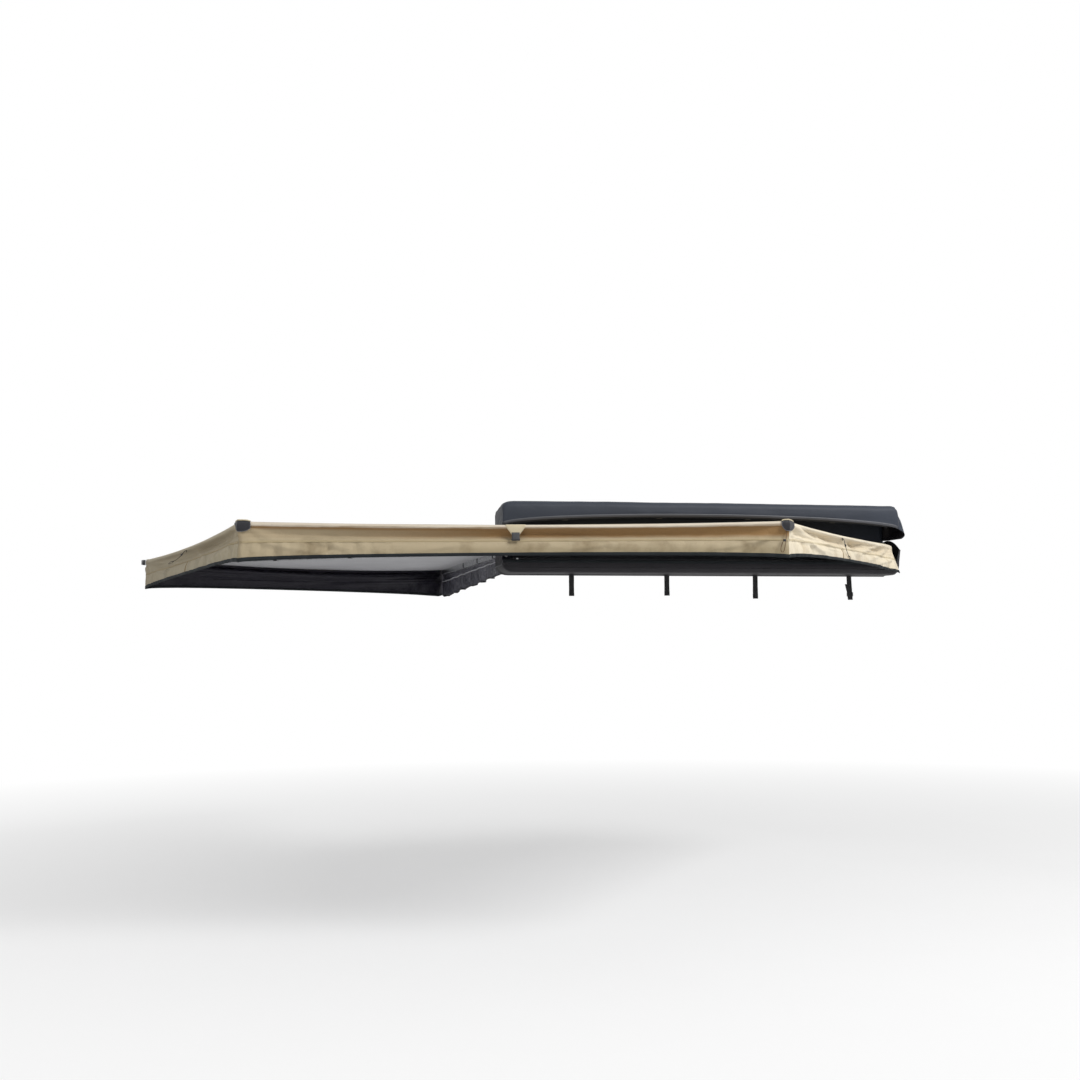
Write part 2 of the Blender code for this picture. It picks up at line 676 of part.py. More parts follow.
def hub_bracket():
    """Casting with a plate above and below the arms and a bolted flange."""
    bm = bmesh.new()
    add_prism(bm, hub_outline(), HUB_Z - HUB_INSIDE - HUB_PLATE, HUB_Z + HUB_INSIDE + HUB_PLATE)
    made = finish("hub_bracket", bm, BLACK_METAL)
    front = PLATE_FRONT - GAP - HUB_FLANGE_THICK
    room = bmesh.new()
    clear = 2 * HUB_RADIUS
    add_box(room, (PIN.x - clear, PIN.y - clear, HUB_Z - HUB_INSIDE),
            (PIN.x + HUB_FLANGE_START + HUB_FLANGE_LENGTH + clear, front, HUB_Z + HUB_INSIDE))
    cut(made, cutter(room, "hub_room"))
    holes = bmesh.new()
    add_cylinder(holes, (PIN.x, PIN.y, HUB_Z - 2 * HUB_INSIDE), (PIN.x, PIN.y, HUB_Z + 2 * HUB_INSIDE),
                 PIN_RADIUS + PIN_CLEAR)
    for x, z in hub_bolt_places():
        add_cylinder(holes, (x, front - 0.02, z), (x, PLATE_FRONT + 0.02, z), BOLT_RADIUS + GAP)
    cut(made, cutter(holes, "hub_holes"))


def hub_bolts():
    """Hexagon bolts through the hub flange into the back plate."""
    front = PLATE_FRONT - GAP * 2 - HUB_FLANGE_THICK
    for index, (x, z) in enumerate(hub_bolt_places(), 1):
        bm = bmesh.new()
        add_hex(bm, (x, front, z), (0, -1, 0), 0.0072, 0.005)
        made = finish(f"hub_bolt_{index}", bm, STEEL, (x, front, z))
        shank = bmesh.new()
        add_cylinder(shank, (x, front - 0.002, z), (x, front + HUB_FLANGE_THICK + 0.009, z), BOLT_RADIUS)
        cut(made, cutter(shank, f"hub_bolt_shank_{index}"), "UNION")


def pivot_pin():
    """Headed pin through both hub plates and all four arm knuckles."""
    bm = bmesh.new()
    top = HUB_Z + HUB_INSIDE + HUB_PLATE + GAP
    low = HUB_Z - HUB_INSIDE - HUB_PLATE - 0.014
    sides = 24
    rings = [(PIN_RADIUS, low), (PIN_RADIUS, top), (0.011, top), (0.011, top + 0.004), (0.008, top + 0.006)]
    rows = [[bm.verts.new((PIN.x + r * math.cos(math.tau * i / sides), PIN.y + r * math.sin(
        math.tau * i / sides), z)) for i in range(sides)] for r, z in rings]
    for row, after in zip(rows, rows[1:]):
        for i in range(sides):
            j = (i + 1) % sides
            bm.faces.new((row[i], row[j], after[j], after[i]))
    bm.faces.new(rows[0])
    bm.faces.new(rows[-1])
    finish("pivot_pin", bm, STEEL, PIN, smooth=True)


def pivot_nut():
    """Flanged locking nut under the lower hub plate."""
    bm = bmesh.new()
    under = HUB_Z - HUB_INSIDE - HUB_PLATE - GAP
    sides = 24
    flat = math.pi / 6
    inner = PIN_RADIUS + PIN_CLEAR
    outer = 0.0105
    flange = 0.013
    flange_low = under - 0.002
    low = under - 0.0105

    def hexagon(angle):
        return outer * math.cos(flat) / math.cos((angle % (2 * flat)) - flat)

    rings = [(lambda a: inner, low), (hexagon, low), (hexagon, flange_low), (lambda a: flange, flange_low),
             (lambda a: flange, under), (lambda a: inner, under)]
    rows = []
    for reach, z in rings:
        angles = [math.tau * i / sides for i in range(sides)]
        rows.append([bm.verts.new((PIN.x + reach(a) * math.cos(a), PIN.y + reach(a) * math.sin(a), z))
                     for a in angles])
    for row, after in zip(rows, rows[1:] + rows[:1]):
        for i in range(sides):
            j = (i + 1) % sides
            bm.faces.new((row[i], row[j], after[j], after[i]))
    finish("pivot_nut", bm, STEEL, PIN)


def pivot_washers():
    """Nylon thrust washers above, between and below the two layers of arms."""
    inner = PIN_RADIUS + PIN_CLEAR
    rise = LAYER_RISE + TUBE_HEIGHT / 2
    places = (("top", rise, rise + WASHER_ROOM), ("middle", -LAYER_GAP / 2, LAYER_GAP / 2),
              ("bottom", -rise - WASHER_ROOM, -rise))
    for name, low, high in places:
        bm = bmesh.new()
        add_ring(bm, PIN, inner, WASHER_RADIUS, HUB_Z + low + GAP, HUB_Z + high - GAP)
        finish(f"pivot_washer_{name}", bm, NYLON, PIN)


# Arms, each modelled in its own frame: x along the arm, -y outboard when folded

def arm_frame(index):
    """Empty at the pin, turned to the arm's open direction."""
    frame = bpy.data.objects.new(f"arm_{index}_axis", None)
    frame.location = PIN
    frame.rotation_euler = (0.0, 0.0, -math.radians(ARM_ANGLES[index - 1]))
    bpy.context.scene.collection.objects.link(frame)
    return frame


def arm_side(index):
    """Sideways step of an arm's centre line: the even arms lie outboard."""
    return -ARM_SIDE_STEP if index % 2 == 0 else 0.0


def arm_layer(index):
    """Height of an arm's centre line above the hub's middle."""
    return LAYER_RISE if index < 3 else -LAYER_RISE


def droop(bm):
    """Let everything beyond the knuckle hang down at the arm's slope."""
    for vert in bm.verts:
        vert.co.z -= DROOP_SLOPE * max(0.0, vert.co.x - TUBE_START)


def into_arm(made, frame):
    """Carry a finished piece on its arm's empty."""
    made.parent = frame


def knuckle(index, frame):
    """Cast knuckle: a boss or a pair of ears, a block and a plug in the tube."""
    side = arm_side(index)
    layer = arm_layer(index)
    half = TUBE_WIDTH / 2
    tall = TUBE_HEIGHT / 2
    bm = bmesh.new()
    sides = 20
    if index % 2:
        start = SINGLE_BLOCK_START
        neck = [(start + 0.002, half - 0.001)]
        for i in range(sides // 2 + 1):
            angle = math.pi / 2 + math.pi * i / (sides // 2)
            neck.append((NECK_REACH * math.cos(angle), NECK_HALF_WIDTH * math.sin(angle)))
        neck.append((start + 0.002, -half + 0.001))
        add_prism(bm, neck, layer - SINGLE_BOSS / 2, layer + SINGLE_BOSS / 2)
    else:
        start = DOUBLE_BLOCK_START
        ear = []
        for i in range(sides // 2 + 3):
            angle = math.radians(48.0) + math.radians(215.0) * i / (sides // 2 + 2)
            ear.append((BOSS_RADIUS * math.cos(angle), BOSS_RADIUS * math.sin(angle)))
        ear += [(start, side - half), (start + 0.004, side - half), (start + 0.004, side + half)]
        for low in (layer - tall, layer + tall - EAR_THICK):
            add_prism(bm, ear, low, low + EAR_THICK)
    main = finish(f"arm_{index}_knuckle", bm, BLACK_METAL)
    block = bmesh.new()
    add_box(block, (start, side - half, layer - tall), (TUBE_START - GAP, side + half, layer + tall))
    inner = TUBE_WALL + GAP
    plug = bmesh.new()
    add_box(plug, (TUBE_START - 0.004, side - half + inner, layer - tall + inner),
            (TUBE_START + PLUG_LENGTH, side + half - inner, layer + tall - inner))
    droop(plug)
    for piece, name in ((block, "block"), (plug, "plug")):
        tool = cutter(piece, f"arm_{index}_{name}")
        tool.parent = frame
        cut(main, tool, "UNION")
    holes = bmesh.new()
    add_cylinder(holes, (0, 0, layer - 0.03), (0, 0, layer + 0.03), PIN_RADIUS + PIN_CLEAR)
    for x, z in rivet_places(index):
        add_cylinder(holes, (x, side - 0.04, z), (x, side + 0.04, z), RIVET_RADIUS + GAP, sides=12)
    tool = cutter(holes, f"arm_{index}_knuckle_holes")
    tool.parent = frame
    cut(main, tool)
    into_arm(main, frame)


def rivet_places(index):
    """One rivet through tube and plug, on the drooping centre line."""
    x = TUBE_START + 0.5 * PLUG_LENGTH
    return [(x, arm_layer(index) - DROOP_SLOPE * (x - TUBE_START))]


def arm_tube(index, frame):
    """Rectangular aluminium tube with rivet holes near the hub."""
    side = arm_side(index)
    layer = arm_layer(index)
    half = TUBE_WIDTH / 2
    tall = TUBE_HEIGHT / 2
    end = ARM_LENGTHS[index - 1]
    bm = bmesh.new()
    rows = []
    for wall, x in ((0.0, TUBE_START), (0.0, end), (TUBE_WALL, end), (TUBE_WALL, TUBE_START)):
        y = half - wall
        z = tall - wall
        rows.append([bm.verts.new((x, side + a * y, layer + b * z))
                     for a, b in ((-1, -1), (1, -1), (1, 1), (-1, 1))])
    for row, after in zip(rows, rows[1:] + rows[:1]):
        for i in range(4):
            j = (i + 1) % 4
            bm.faces.new((row[i], row[j], after[j], after[i]))
    droop(bm)
    tube = finish(f"arm_{index}_tube", bm, ALUMINIUM)
    tube.parent = frame
    holes = bmesh.new()
    for x, z in rivet_places(index):
        add_cylinder(holes, (x, side - 0.04, z), (x, side + 0.04, z), RIVET_RADIUS + GAP, sides=12)
    tool = cutter(holes, f"arm_{index}_tube_holes")
    tool.parent = frame
    cut(tube, tool)


def arm_rivet(index, frame):
    """Rivet with a head on each side of the tube."""
    side = arm_side(index)
    bm = bmesh.new()
    sides = 12
    reach = TUBE_WIDTH / 2 + GAP
    for x, z in rivet_places(index):
        rings = [(RIVET_HEAD * 0.6, -reach - RIVET_PROUD), (RIVET_HEAD, -reach - 0.0008),
                 (RIVET_HEAD, -reach), (RIVET_RADIUS, -reach), (RIVET_RADIUS, reach), (RIVET_HEAD, reach),
                 (RIVET_HEAD, reach + 0.0008), (RIVET_HEAD * 0.6, reach + RIVET_PROUD)]
        rows = [[bm.verts.new((x + r * math.cos(math.tau * i / sides), side + y,
                               z + r * math.sin(math.tau * i / sides))) for i in range(sides)]
                for r, y in rings]
        for row, after in zip(rows, rows[1:]):
            for i in range(sides):
                j = (i + 1) % sides
                bm.faces.new((row[i], row[j], after[j], after[i]))
        bm.faces.new(rows[0])
        bm.faces.new(rows[-1])
    finish(f"arm_{index}_rivet", bm, STEEL).parent = frame


def arm_cap(index, frame):
    """Plastic end cap: a plug inside the tube and a head outside it."""
    side = arm_side(index)
    layer = arm_layer(index)
    half = TUBE_WIDTH / 2
    tall = TUBE_HEIGHT / 2
    end = ARM_LENGTHS[index - 1]
    bm = bmesh.new()
    inner = TUBE_WALL + GAP
    rings = [(inner, end - 0.025), (inner, end + GAP), (0.0, end + GAP), (0.0, end + CAP_LENGTH * 0.7),
             (0.002, end + CAP_LENGTH)]
    rows = []
    for wall, x in rings:
        y = half - wall
        z = tall - wall
        rows.append([bm.verts.new((x, side + a * y, layer + b * z))
                     for a, b in ((-1, -1), (1, -1), (1, 1), (-1, 1))])
    for row, after in zip(rows, rows[1:]):
        for i in range(4):
            j = (i + 1) % 4
            bm.faces.new((row[i], row[j], after[j], after[i]))
    bm.faces.new(rows[0])
    bm.faces.new(rows[-1])
    droop(bm)
    finish(f"arm_{index}_cap", bm, NYLON).parent = frame


# Canopy, in world coordinates

def arm_way(index):
    """Unit vector along an open arm."""
    angle = math.radians(ARM_ANGLES[index - 1])
    return Vector((math.cos(angle), -math.sin(angle), 0.0))


def arm_top(index, radius):
    """Point on the middle of an arm's upper face, seen from the pin."""
    way = arm_way(index)
    left = Vector((-way.y, way.x, 0.0))
    point = PIN + way * radius + left * arm_side(index)
    point.z = HUB_Z + arm_layer(index) + TUBE_HEIGHT / 2 - DROOP_SLOPE * max(0.0, radius - TUBE_START)
    return point


def case_line(radius):
    """The first panel's fixed edge: along the rail, then out to the bag's front."""
    swing = smooth_step((radius - (CORNER_RADIUS - RAIL_SWING)) / RAIL_SWING)
    y = PLATE_FRONT - GAP * 2 - RAIL_THICK - CLOTH
    z = HUB_Z + RAIL_RISE
    return Vector((PIN.x + radius, mix(y, PIN.y - FRONT_CORNER_OUT, swing),
                   mix(z, HUB_Z + FRONT_CORNER_RISE, swing)))


def side_line(index, radius):
    """Edge line of the canopy: 0 is the case, 1 to 4 are the arms."""
    if index == 0:
        return case_line(radius)
    return arm_top(index, radius) + Vector((0.0, 0.0, GAP + CLOTH / 2))


def roof_point(index, radius, share):
    """Point on the roof between two edge lines: flat on the arms, sagging between."""
    one = side_line(index - 1, radius)
    two = side_line(index, radius)
    width = (two - one).length
    rest = min(1.0, max(0.0, (share * width - ARM_MARGIN) / (width - 2 * ARM_MARGIN)))
    inset = SEAM_GAP / width
    point = mix(one, two, mix(inset, 1.0 - inset, share))
    far = radius / CORNER_RADIUS
    point.z = mix(one.z, two.z, rest) - ROOF_SAGS[index - 1] * bow(rest) * far ** 2
    inward = PIN - (one + two) / 2
    inward.z = 0.0
    point += inward.normalized() * EDGE_HOLLOW * bow(share) * far ** 4
    return point


def roof_shares(index, radius):
    """Where the roof's lengthwise lines lie: close beside each arm, then evenly."""
    width = (side_line(index, radius) - side_line(index - 1, radius)).length
    side = ARM_MARGIN / width
    inner = [mix(side, 1.0 - side, i / ROOF_STEPS) for i in range(ROOF_STEPS + 1)]
    return [0.0] + inner + [1.0]


def roof_panel(index):
    """One triangular roof panel, laid on its arms."""
    rows = []
    for ring in range(ROOF_RINGS + 1):
        radius = mix(ROOF_START, CORNER_RADIUS, ring / ROOF_RINGS)
        rows.append([roof_point(index, radius, share) for share in roof_shares(index, radius)])
    sheet(f"roof_panel_{index}", rows, GREY, CLOTH, PIN)


def skirt_profile(middle):
    """Skirt section: outward offset and drop, with a rolled edge and a fold."""
    base = SKIRT_BASE
    return [(base, 0.001), (base + 0.006, 0.006), (base + SKIRT_ROLL, 0.020),
            (base + 0.004 - 0.010 * middle, 0.045), (base + 0.002 - 0.012 * middle, 0.068),
            (base + 0.003 - 0.002 * middle, 0.100), (base + 0.006 + 0.004 * middle, 0.140),
            (base + 0.005 + 0.006 * middle, SKIRT_DEPTH)]


def skirt_wave(index, share):
    """Gentle lengthwise folds of the lower skirt."""
    turn = share * math.tau
    return 0.55 * math.sin(turn * 2.5 + index) + 0.45 * math.sin(turn * 4.2 + 2.1 * index)


def outer_edge(index):
    """The roof's outer edge as (share, point), each of its stretches halved."""
    one = side_line(index - 1, CORNER_RADIUS)
    two = side_line(index, CORNER_RADIUS)
    length = (two - one).length
    shares = roof_shares(index, CORNER_RADIUS)
    shares[0] = SKIRT_END_CUT / length if index > 1 else SEAM_GAP / length
    shares[-1] = 1.0 - SKIRT_END_CUT / length
    places = [(share, roof_point(index, CORNER_RADIUS, share)) for share in shares]
    halved = []
    for (share, point), (next_share, next_point) in zip(places, places[1:]):
        halved += [(share, point), ((share + next_share) / 2, (point + next_point) / 2)]
    return halved + [places[-1]]


def edge_ways(index):
    """Level unit vectors along a panel's outer edge and away from the hub."""
    one = side_line(index - 1, CORNER_RADIUS)
    two = side_line(index, CORNER_RADIUS)
    along = two - one
    along.z = 0.0
    along.normalize()
    outward = Vector((along.y, -along.x, 0.0))
    if outward.dot((one + two) / 2 - PIN) < 0:
        outward = -outward
    return along, outward


def skirt(index):
    """Side skirt that hangs from a roof panel's outer edge."""
    outward = edge_ways(index)[1]
    rows = []
    for share, top in outer_edge(index):
        middle = min(1.0, bow(share) * 1.8)
        deep = mix(EDGE_DEPTHS[index - 1], EDGE_DEPTHS[index], share)
        deep -= HEM_LIFTS[index - 1] * bow(share) ** 0.7
        end = (1.0 - smooth_step(share / 0.08)) if index == 1 else 0.0
        row = []
        for offset, full_drop in skirt_profile(middle):
            drop = full_drop * deep / SKIRT_DEPTH
            wave = skirt_wave(index, share) * 0.004 * middle * (drop / SKIRT_DEPTH) ** 2
            lean = Vector((end * FRONT_END_LEAN * drop / deep, 0.0, -drop))
            row.append(top + outward * (offset + wave) + lean)
        rows.append(row)
    sheet(f"skirt_{index}", rows, TAN, CLOTH, PIN)


def corner_cap(index):
    """Black reinforcing cap over a near corner of the canopy."""
    corner = side_line(index, CORNER_RADIUS)
    before = (side_line(index - 1, CORNER_RADIUS) - corner)
    after = (side_line(index + 1, CORNER_RADIUS) - corner)
    before.z = 0.0
    after.z = 0.0
    before.normalize()
    after.normalize()
    inside = (before + after).normalized()
    reach = 0.045

    def off(way, amount):
        out = Vector((way.y, -way.x, 0.0))
        if out.dot(inside) > 0:
            out = -out
        return out * amount

    half = (math.pi - before.angle(after)) / 2
    inner_off = SKIRT_FACE + 2 * GAP
    outer_off = inner_off + 0.0035
    path = []
    for amount in (inner_off, outer_off):
        tip = corner - inside * amount / math.cos(half)
        path.append([corner + before * reach + off(before, amount), tip,
                     corner + after * reach + off(after, amount)])
    wall = [(p.x, p.y) for p in path[1]] + [(p.x, p.y) for p in reversed(path[0])]
    bm = bmesh.new()
    flap_low = corner.z + CLOTH / 2 + 2 * GAP
    top = flap_low + 0.0040
    add_prism(bm, wall, corner.z - 0.044, top)
    made = finish(f"corner_cap_{index}", bm, NYLON, PIN)
    flap = [(p.x, p.y) for p in path[1][:1]]
    flap += [((corner + before * reach * 0.9).x, (corner + before * reach * 0.9).y),
             ((corner + inside * reach * 0.7).x, (corner + inside * reach * 0.7).y),
             ((corner + after * reach * 0.9).x, (corner + after * reach * 0.9).y)]
    flap += [(p.x, p.y) for p in reversed(path[1][1:])]
    piece = bmesh.new()
    add_prism(piece, flap, flap_low, flap_low + 0.0034)
    cut(made, cutter(piece, f"corner_flap_{index}"), "UNION")


def tie_out():
    """Tan tie-out tab with its webbing buckle on the near skirt's middle."""
    index = 2
    top = roof_point(index, CORNER_RADIUS, 0.5)
    along, outward = edge_ways(index)
    away = SKIRT_FACE + 2 * GAP + TAB_THICK / 2
    rows = []
    for drop, wide in ((0.010, 0.040), (0.026, 0.032), (0.050, 0.017)):
        middle = top + outward * away - Vector((0.0, 0.0, drop))
        rows.append([middle - along * wide, middle, middle + along * wide])
    sheet("tie_out_tab", rows, TAN, TAB_THICK, PIN)
    thick = 0.0022
    centre = top + outward * (away + TAB_THICK / 2 + 2 * GAP + thick) - Vector((0.0, 0.0, 0.056))
    bm = bmesh.new()
    for vert in add_box(bm, (-0.015, -thick, -0.018), (0.015, thick, 0.018)):
        vert.co = centre + along * vert.co.x + outward * vert.co.y + Vector((0.0, 0.0, vert.co.z))
    finish("tie_out_buckle", bm, NYLON, PIN)


def end_flap():
    """Crinkled PVC flap that hangs under the last arm."""
    index = 4
    way = arm_way(index)
    left = Vector((-way.y, way.x, 0.0))
    rows = []
    for step in range(FLAP_STEPS + 1):
        share = step / FLAP_STEPS
        radius = mix(0.150, CORNER_RADIUS - FLAP_END_INSET, share)
        top = arm_top(index, radius)
        top.z -= TUBE_HEIGHT + 2 * GAP
        deep = mix(FLAP_HUB_DEPTH, FLAP_END_DEPTH, share)
        ripple = FLAP_RIPPLE * (math.sin(share * 58.0) + 0.6 * math.sin(share * 97.0 + 1.0))
        scallop = FLAP_SCALLOP * math.sin(share * 44.0 + 0.7)
        row = []
        for part in (0.0, 0.2, 0.5, 0.8, 1.0):
            drop = (deep + scallop) * part
            row.append(top + left * ripple * smooth_step(part * 1.6) - Vector((0.0, 0.0, drop)))
        rows.append(row)
    sheet("end_flap", rows, BLACK_PVC, 0.0016, PIN)


# Short tie cords on the skirts

def cord(name, points, radius, origin):
    """A free cord as a bevelled poly curve with filled caps."""
    curve = bpy.data.curves.new(name, "CURVE")
    curve.dimensions = "3D"
    curve.bevel_depth = radius
    curve.bevel_resolution = 2
    curve.use_fill_caps = True
    line = curve.splines.new("POLY")
    route = smooth_route(points)
    line.points.add(len(route) - 1)
    for point, place in zip(line.points, route):
        point.co = (*(place - Vector(origin)), 1.0)
    curve.materials.append(NYLON)
    made = bpy.data.objects.new(name, curve)
    made.location = origin
    bpy.context.scene.collection.objects.link(made)
    return made


def smooth_route(points, each=6):
    """Read points from a smooth curve through the cord's own points."""
    points = [Vector(p) for p in points]
    line = [points[0] * 2 - points[1]] + points + [points[-1] * 2 - points[-2]]
    route = []
    for i in range(1, len(line) - 2):
        for step in range(each):
            t = step / each
            a, b, c, d = line[i - 1], line[i], line[i + 1], line[i + 2]
            route.append(0.5 * (2 * b + (c - a) * t + (2 * a - 5 * b + 4 * c - d) * t * t
                                + (3 * b - a - 3 * c + d) * t ** 3))
    route.append(points[-1])
    return route


def skirt_cord(name, index, share, side_way, stand, fall):
    """Tie cord that leaves a skirt's top seam and hangs down its face, or stands out from it."""
    top = roof_point(index, CORNER_RADIUS, share)
    along, outward = edge_ways(index)
    route = []
    for side, out, drop in ((0.000, 0.0004, 0.018), (0.000, 0.0040, 0.0185), (0.002, 0.0070, 0.023),
                            (0.006, 0.0085, 0.034), (0.012, 0.0085, 0.046), (0.018, 0.0085, 0.058),
                            (0.025, 0.0085, 0.070), (0.033, 0.0085, 0.082), (0.041, 0.0085, 0.092),
                            (0.050, 0.0085, 0.101), (0.060, 0.0085, 0.109)):
        down = mix(SEAM_DROP, drop, fall)
        place = top + along * side * side_way + outward * (SKIRT_FACE + out + side * stand)
        route.append(place - Vector((0.0, 0.0, down)))
    cord(name, route, TIE_CORD_RADIUS, PIN)


def corner_cord():
    """Guy line that hangs from the first corner cap, doubled back to its slider."""
    corner = side_line(1, CORNER_RADIUS)
    along, outward = edge_ways(2)
    if along.dot(side_line(2, CORNER_RADIUS) - corner) < 0:
        along = -along
    route = []
    for side, out, drop in ((0.020, 0.0010, 0.0450), (0.020, 0.0030, 0.0520), (0.021, 0.0045, 0.0620),
                            (0.022, 0.0052, 0.0760), (0.024, 0.0055, 0.0940), (0.027, 0.0058, 0.1120),
                            (0.030, 0.0060, 0.1280), (0.034, 0.0062, 0.1400), (0.040, 0.0064, 0.1450),
                            (0.046, 0.0064, 0.1410), (0.048, 0.0064, 0.1300), (0.045, 0.0064, 0.1160),
                            (0.040, 0.0064, 0.1020), (0.034, 0.0064, 0.0890)):
        place = corner + along * (side - CORNER_CORD_SHIFT) + outward * (SKIRT_FACE + out)
        route.append(place - Vector((0.0, 0.0, drop)))
    cord("tie_cord_corner", route, TIE_CORD_RADIUS, PIN)


for number, bracket_x in enumerate(BRACKET_X, 1):
    rack_bracket(number, bracket_x)
    bracket_clamp(number, bracket_x)
back_plate()
bag_back_panel()
bag_lid()
bag_tray()
zip_tapes()
zip_slider()
straps()
strap_buckle()
canopy_rail()
arm_rest()
hub_bracket()
hub_bolts()
pivot_pin()
pivot_nut()
pivot_washers()
for arm in (1, 2, 3, 4):
    axis = arm_frame(arm)
    knuckle(arm, axis)
    arm_tube(arm, axis)
    arm_rivet(arm, axis)
    arm_cap(arm, axis)
    roof_panel(arm)
    skirt(arm)
corner_cap(1)
corner_cap(2)
tie_out()
end_flap()
skirt_cord("tie_cord_front", 1, 0.515, -2.0, 0.0, 1.0)
skirt_cord("tie_cord_rear", 3, 0.53, 1.0, 0.9, 0.65)
corner_cord()
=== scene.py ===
"""Looks of the open wrap-round awning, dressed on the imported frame."""
import json
import math

import bpy
from mathutils import Euler, Matrix, Vector, noise


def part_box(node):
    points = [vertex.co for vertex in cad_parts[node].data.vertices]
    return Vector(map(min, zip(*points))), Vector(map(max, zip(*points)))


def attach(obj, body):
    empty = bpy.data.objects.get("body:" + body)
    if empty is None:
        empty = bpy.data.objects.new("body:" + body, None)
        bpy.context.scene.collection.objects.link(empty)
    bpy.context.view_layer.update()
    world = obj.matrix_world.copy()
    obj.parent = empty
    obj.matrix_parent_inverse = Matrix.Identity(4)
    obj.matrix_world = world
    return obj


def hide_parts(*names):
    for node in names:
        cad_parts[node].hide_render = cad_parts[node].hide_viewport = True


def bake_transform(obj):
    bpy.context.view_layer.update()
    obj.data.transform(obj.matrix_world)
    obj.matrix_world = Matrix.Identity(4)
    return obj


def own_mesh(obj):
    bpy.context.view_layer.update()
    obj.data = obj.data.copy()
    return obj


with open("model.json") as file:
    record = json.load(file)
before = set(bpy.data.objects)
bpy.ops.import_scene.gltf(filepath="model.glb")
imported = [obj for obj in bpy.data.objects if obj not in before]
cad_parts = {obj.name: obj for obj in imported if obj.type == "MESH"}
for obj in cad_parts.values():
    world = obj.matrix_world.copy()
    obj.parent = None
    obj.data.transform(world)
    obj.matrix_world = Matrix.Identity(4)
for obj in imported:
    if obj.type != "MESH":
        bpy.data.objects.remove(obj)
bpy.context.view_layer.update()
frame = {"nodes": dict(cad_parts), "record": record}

# The photograph's camera, fitted to the canopy's corners
PHOTO_SIZE = 1080
CAMERA_PLACE = (-2.7926, -8.9745, -0.4768)
CAMERA_YAW = math.radians(11.51)
CAMERA_PITCH = math.radians(3.65)
CAMERA_ROLL = math.radians(-0.242)
FOCAL_PIXELS = 1505.2
SENSOR = 36.0
FLOOR_Z = -1.95
WORLD_LEVEL = 0.40

# The awning's driving sizes, in metres, as the CAD part has them
GAP = 0.0003
CLOTH = 0.0025
CASE_LEFT = -1.250
CASE_RIGHT = 1.250
HUB_Z = 0.050
PIN = Vector((-1.200, -0.1294, HUB_Z))
PLATE_FRONT = -0.0631
PANEL_REAR = -0.0428
PANEL_START = -1.144
LID_HINGE_Y = -0.0438
TRAY_HINGE_Y = -0.0451
CASE_DEPTH = 0.244
LID_HINGE_RISE = 0.200
LID_FRONT_END = 0.122
LID_FRONT_MIDDLE = 0.188
LID_TOP = 0.274
TRAY_HINGE_DROP = 0.160
TRAY_BOTTOM = 0.153
TRAY_RIGHT_DIP = 0.005
TRAY_FRONT = 0.078
TRAY_END_FRONT = 0.004
TRAY_RISE_LENGTH = 0.020
END_ROUND = 0.075
END_BULGE = 0.030
TRAY_BULGE = 0.006
TRAY_ARCH = 0.030
BULGE_START = 0.30
LID_END_FALL = 0.5
END_TUCK = 0.002
RIGHT_ROUND = 0.040
ARM_ANGLES = (67.0, 130.0, 207.0, 268.0)
ARM_SIDE_STEP = 0.034
TUBE_WIDTH = 0.025
TUBE_HEIGHT = 0.030
TUBE_START = 0.090
LAYER_RISE = 0.0165
DROOP_SLOPE = 0.030 / (2.400 - TUBE_START)
CORNER_RADIUS = 2.400
ROOF_START = 0.170
ROOF_SAGS = (0.004, 0.014, 0.012, 0.028)
ARM_MARGIN = 0.022
SEAM_GAP = 0.0006
EDGE_HOLLOW = 0.030
RAIL_RISE = 0.040
RAIL_THICK = 0.004
RAIL_SWING = 0.300
FRONT_CORNER_OUT = 0.172
FRONT_CORNER_RISE = 0.024
SKIRT_DEPTH = 0.175
HEM_LIFTS = (0.036, 0.036, 0.036, 0.048)
EDGE_DEPTHS = (0.172, 0.172, 0.186, 0.186, 0.204)
FRONT_END_LEAN = 0.058
FRONT_CORNER_SHORT = 0.022
SKIRT_BASE = 0.0014
SKIRT_ROLL = 0.008
STRAP_X = (-0.780, -0.178, 0.395, 1.015)
STRAP_LEANS = (0.003, 0.004, 0.004, 0.014)
STRAP_WIDTH = 0.032
STRAP_THICK = 0.0025
STRAP_START_DROP = 0.030
STRAP_END_DROPS = (0.283, 0.280, 0.298, 0.305)
BUCKLE_SHARE = 0.88
SKIRT_FACE = SKIRT_BASE + SKIRT_ROLL + CLOTH / 2
UP = Vector((0.0, 0.0, 1.0))
FIVE_ACROSS = (-1.0, -0.5, 0.0, 0.5, 1.0)
BODIES = ("root", "arm_1", "arm_2", "arm_3", "arm_4")

# How thick the drawn cloths and tapes are
SKIRT_WALL = 0.0011
ROOF_WALL = 0.0016
HEM_WALL = 0.0010
TAPE_WALL = 0.0009
WEBBING_WALL = 0.0014
BAG_WALL = 0.0022
PATCH_WALL = 0.0012
FLAP_WALL = 0.0008
STRAP_WALL = 0.0018
LID_TAB_WALL = 0.0013


# Small mathematics

def mix(start, end, share):
    """Value between start and end."""
    return start + (end - start) * share


def ease(value):
    """Ease from 0 to 1."""
    value = min(1.0, max(0.0, value))
    return value * value * (3.0 - 2.0 * value)


def bow(share):
    """A shallow arch: 0 at both ends, 1 in the middle."""
    return 4.0 * share * (1.0 - share)


def bump_at(value, centre, width):
    """A smooth bump, 1 at its centre and near 0 beyond its width."""
    return math.exp(-((value - centre) / width) ** 2)


def curve(a, b, c, d, t):
    """Place on a smooth line between b and c, whose neighbours are a and d."""
    return 0.5 * (2 * b + (c - a) * t + (2 * a - 5 * b + 4 * c - d) * t * t
                  + (3 * b - a - 3 * c + d) * t ** 3)


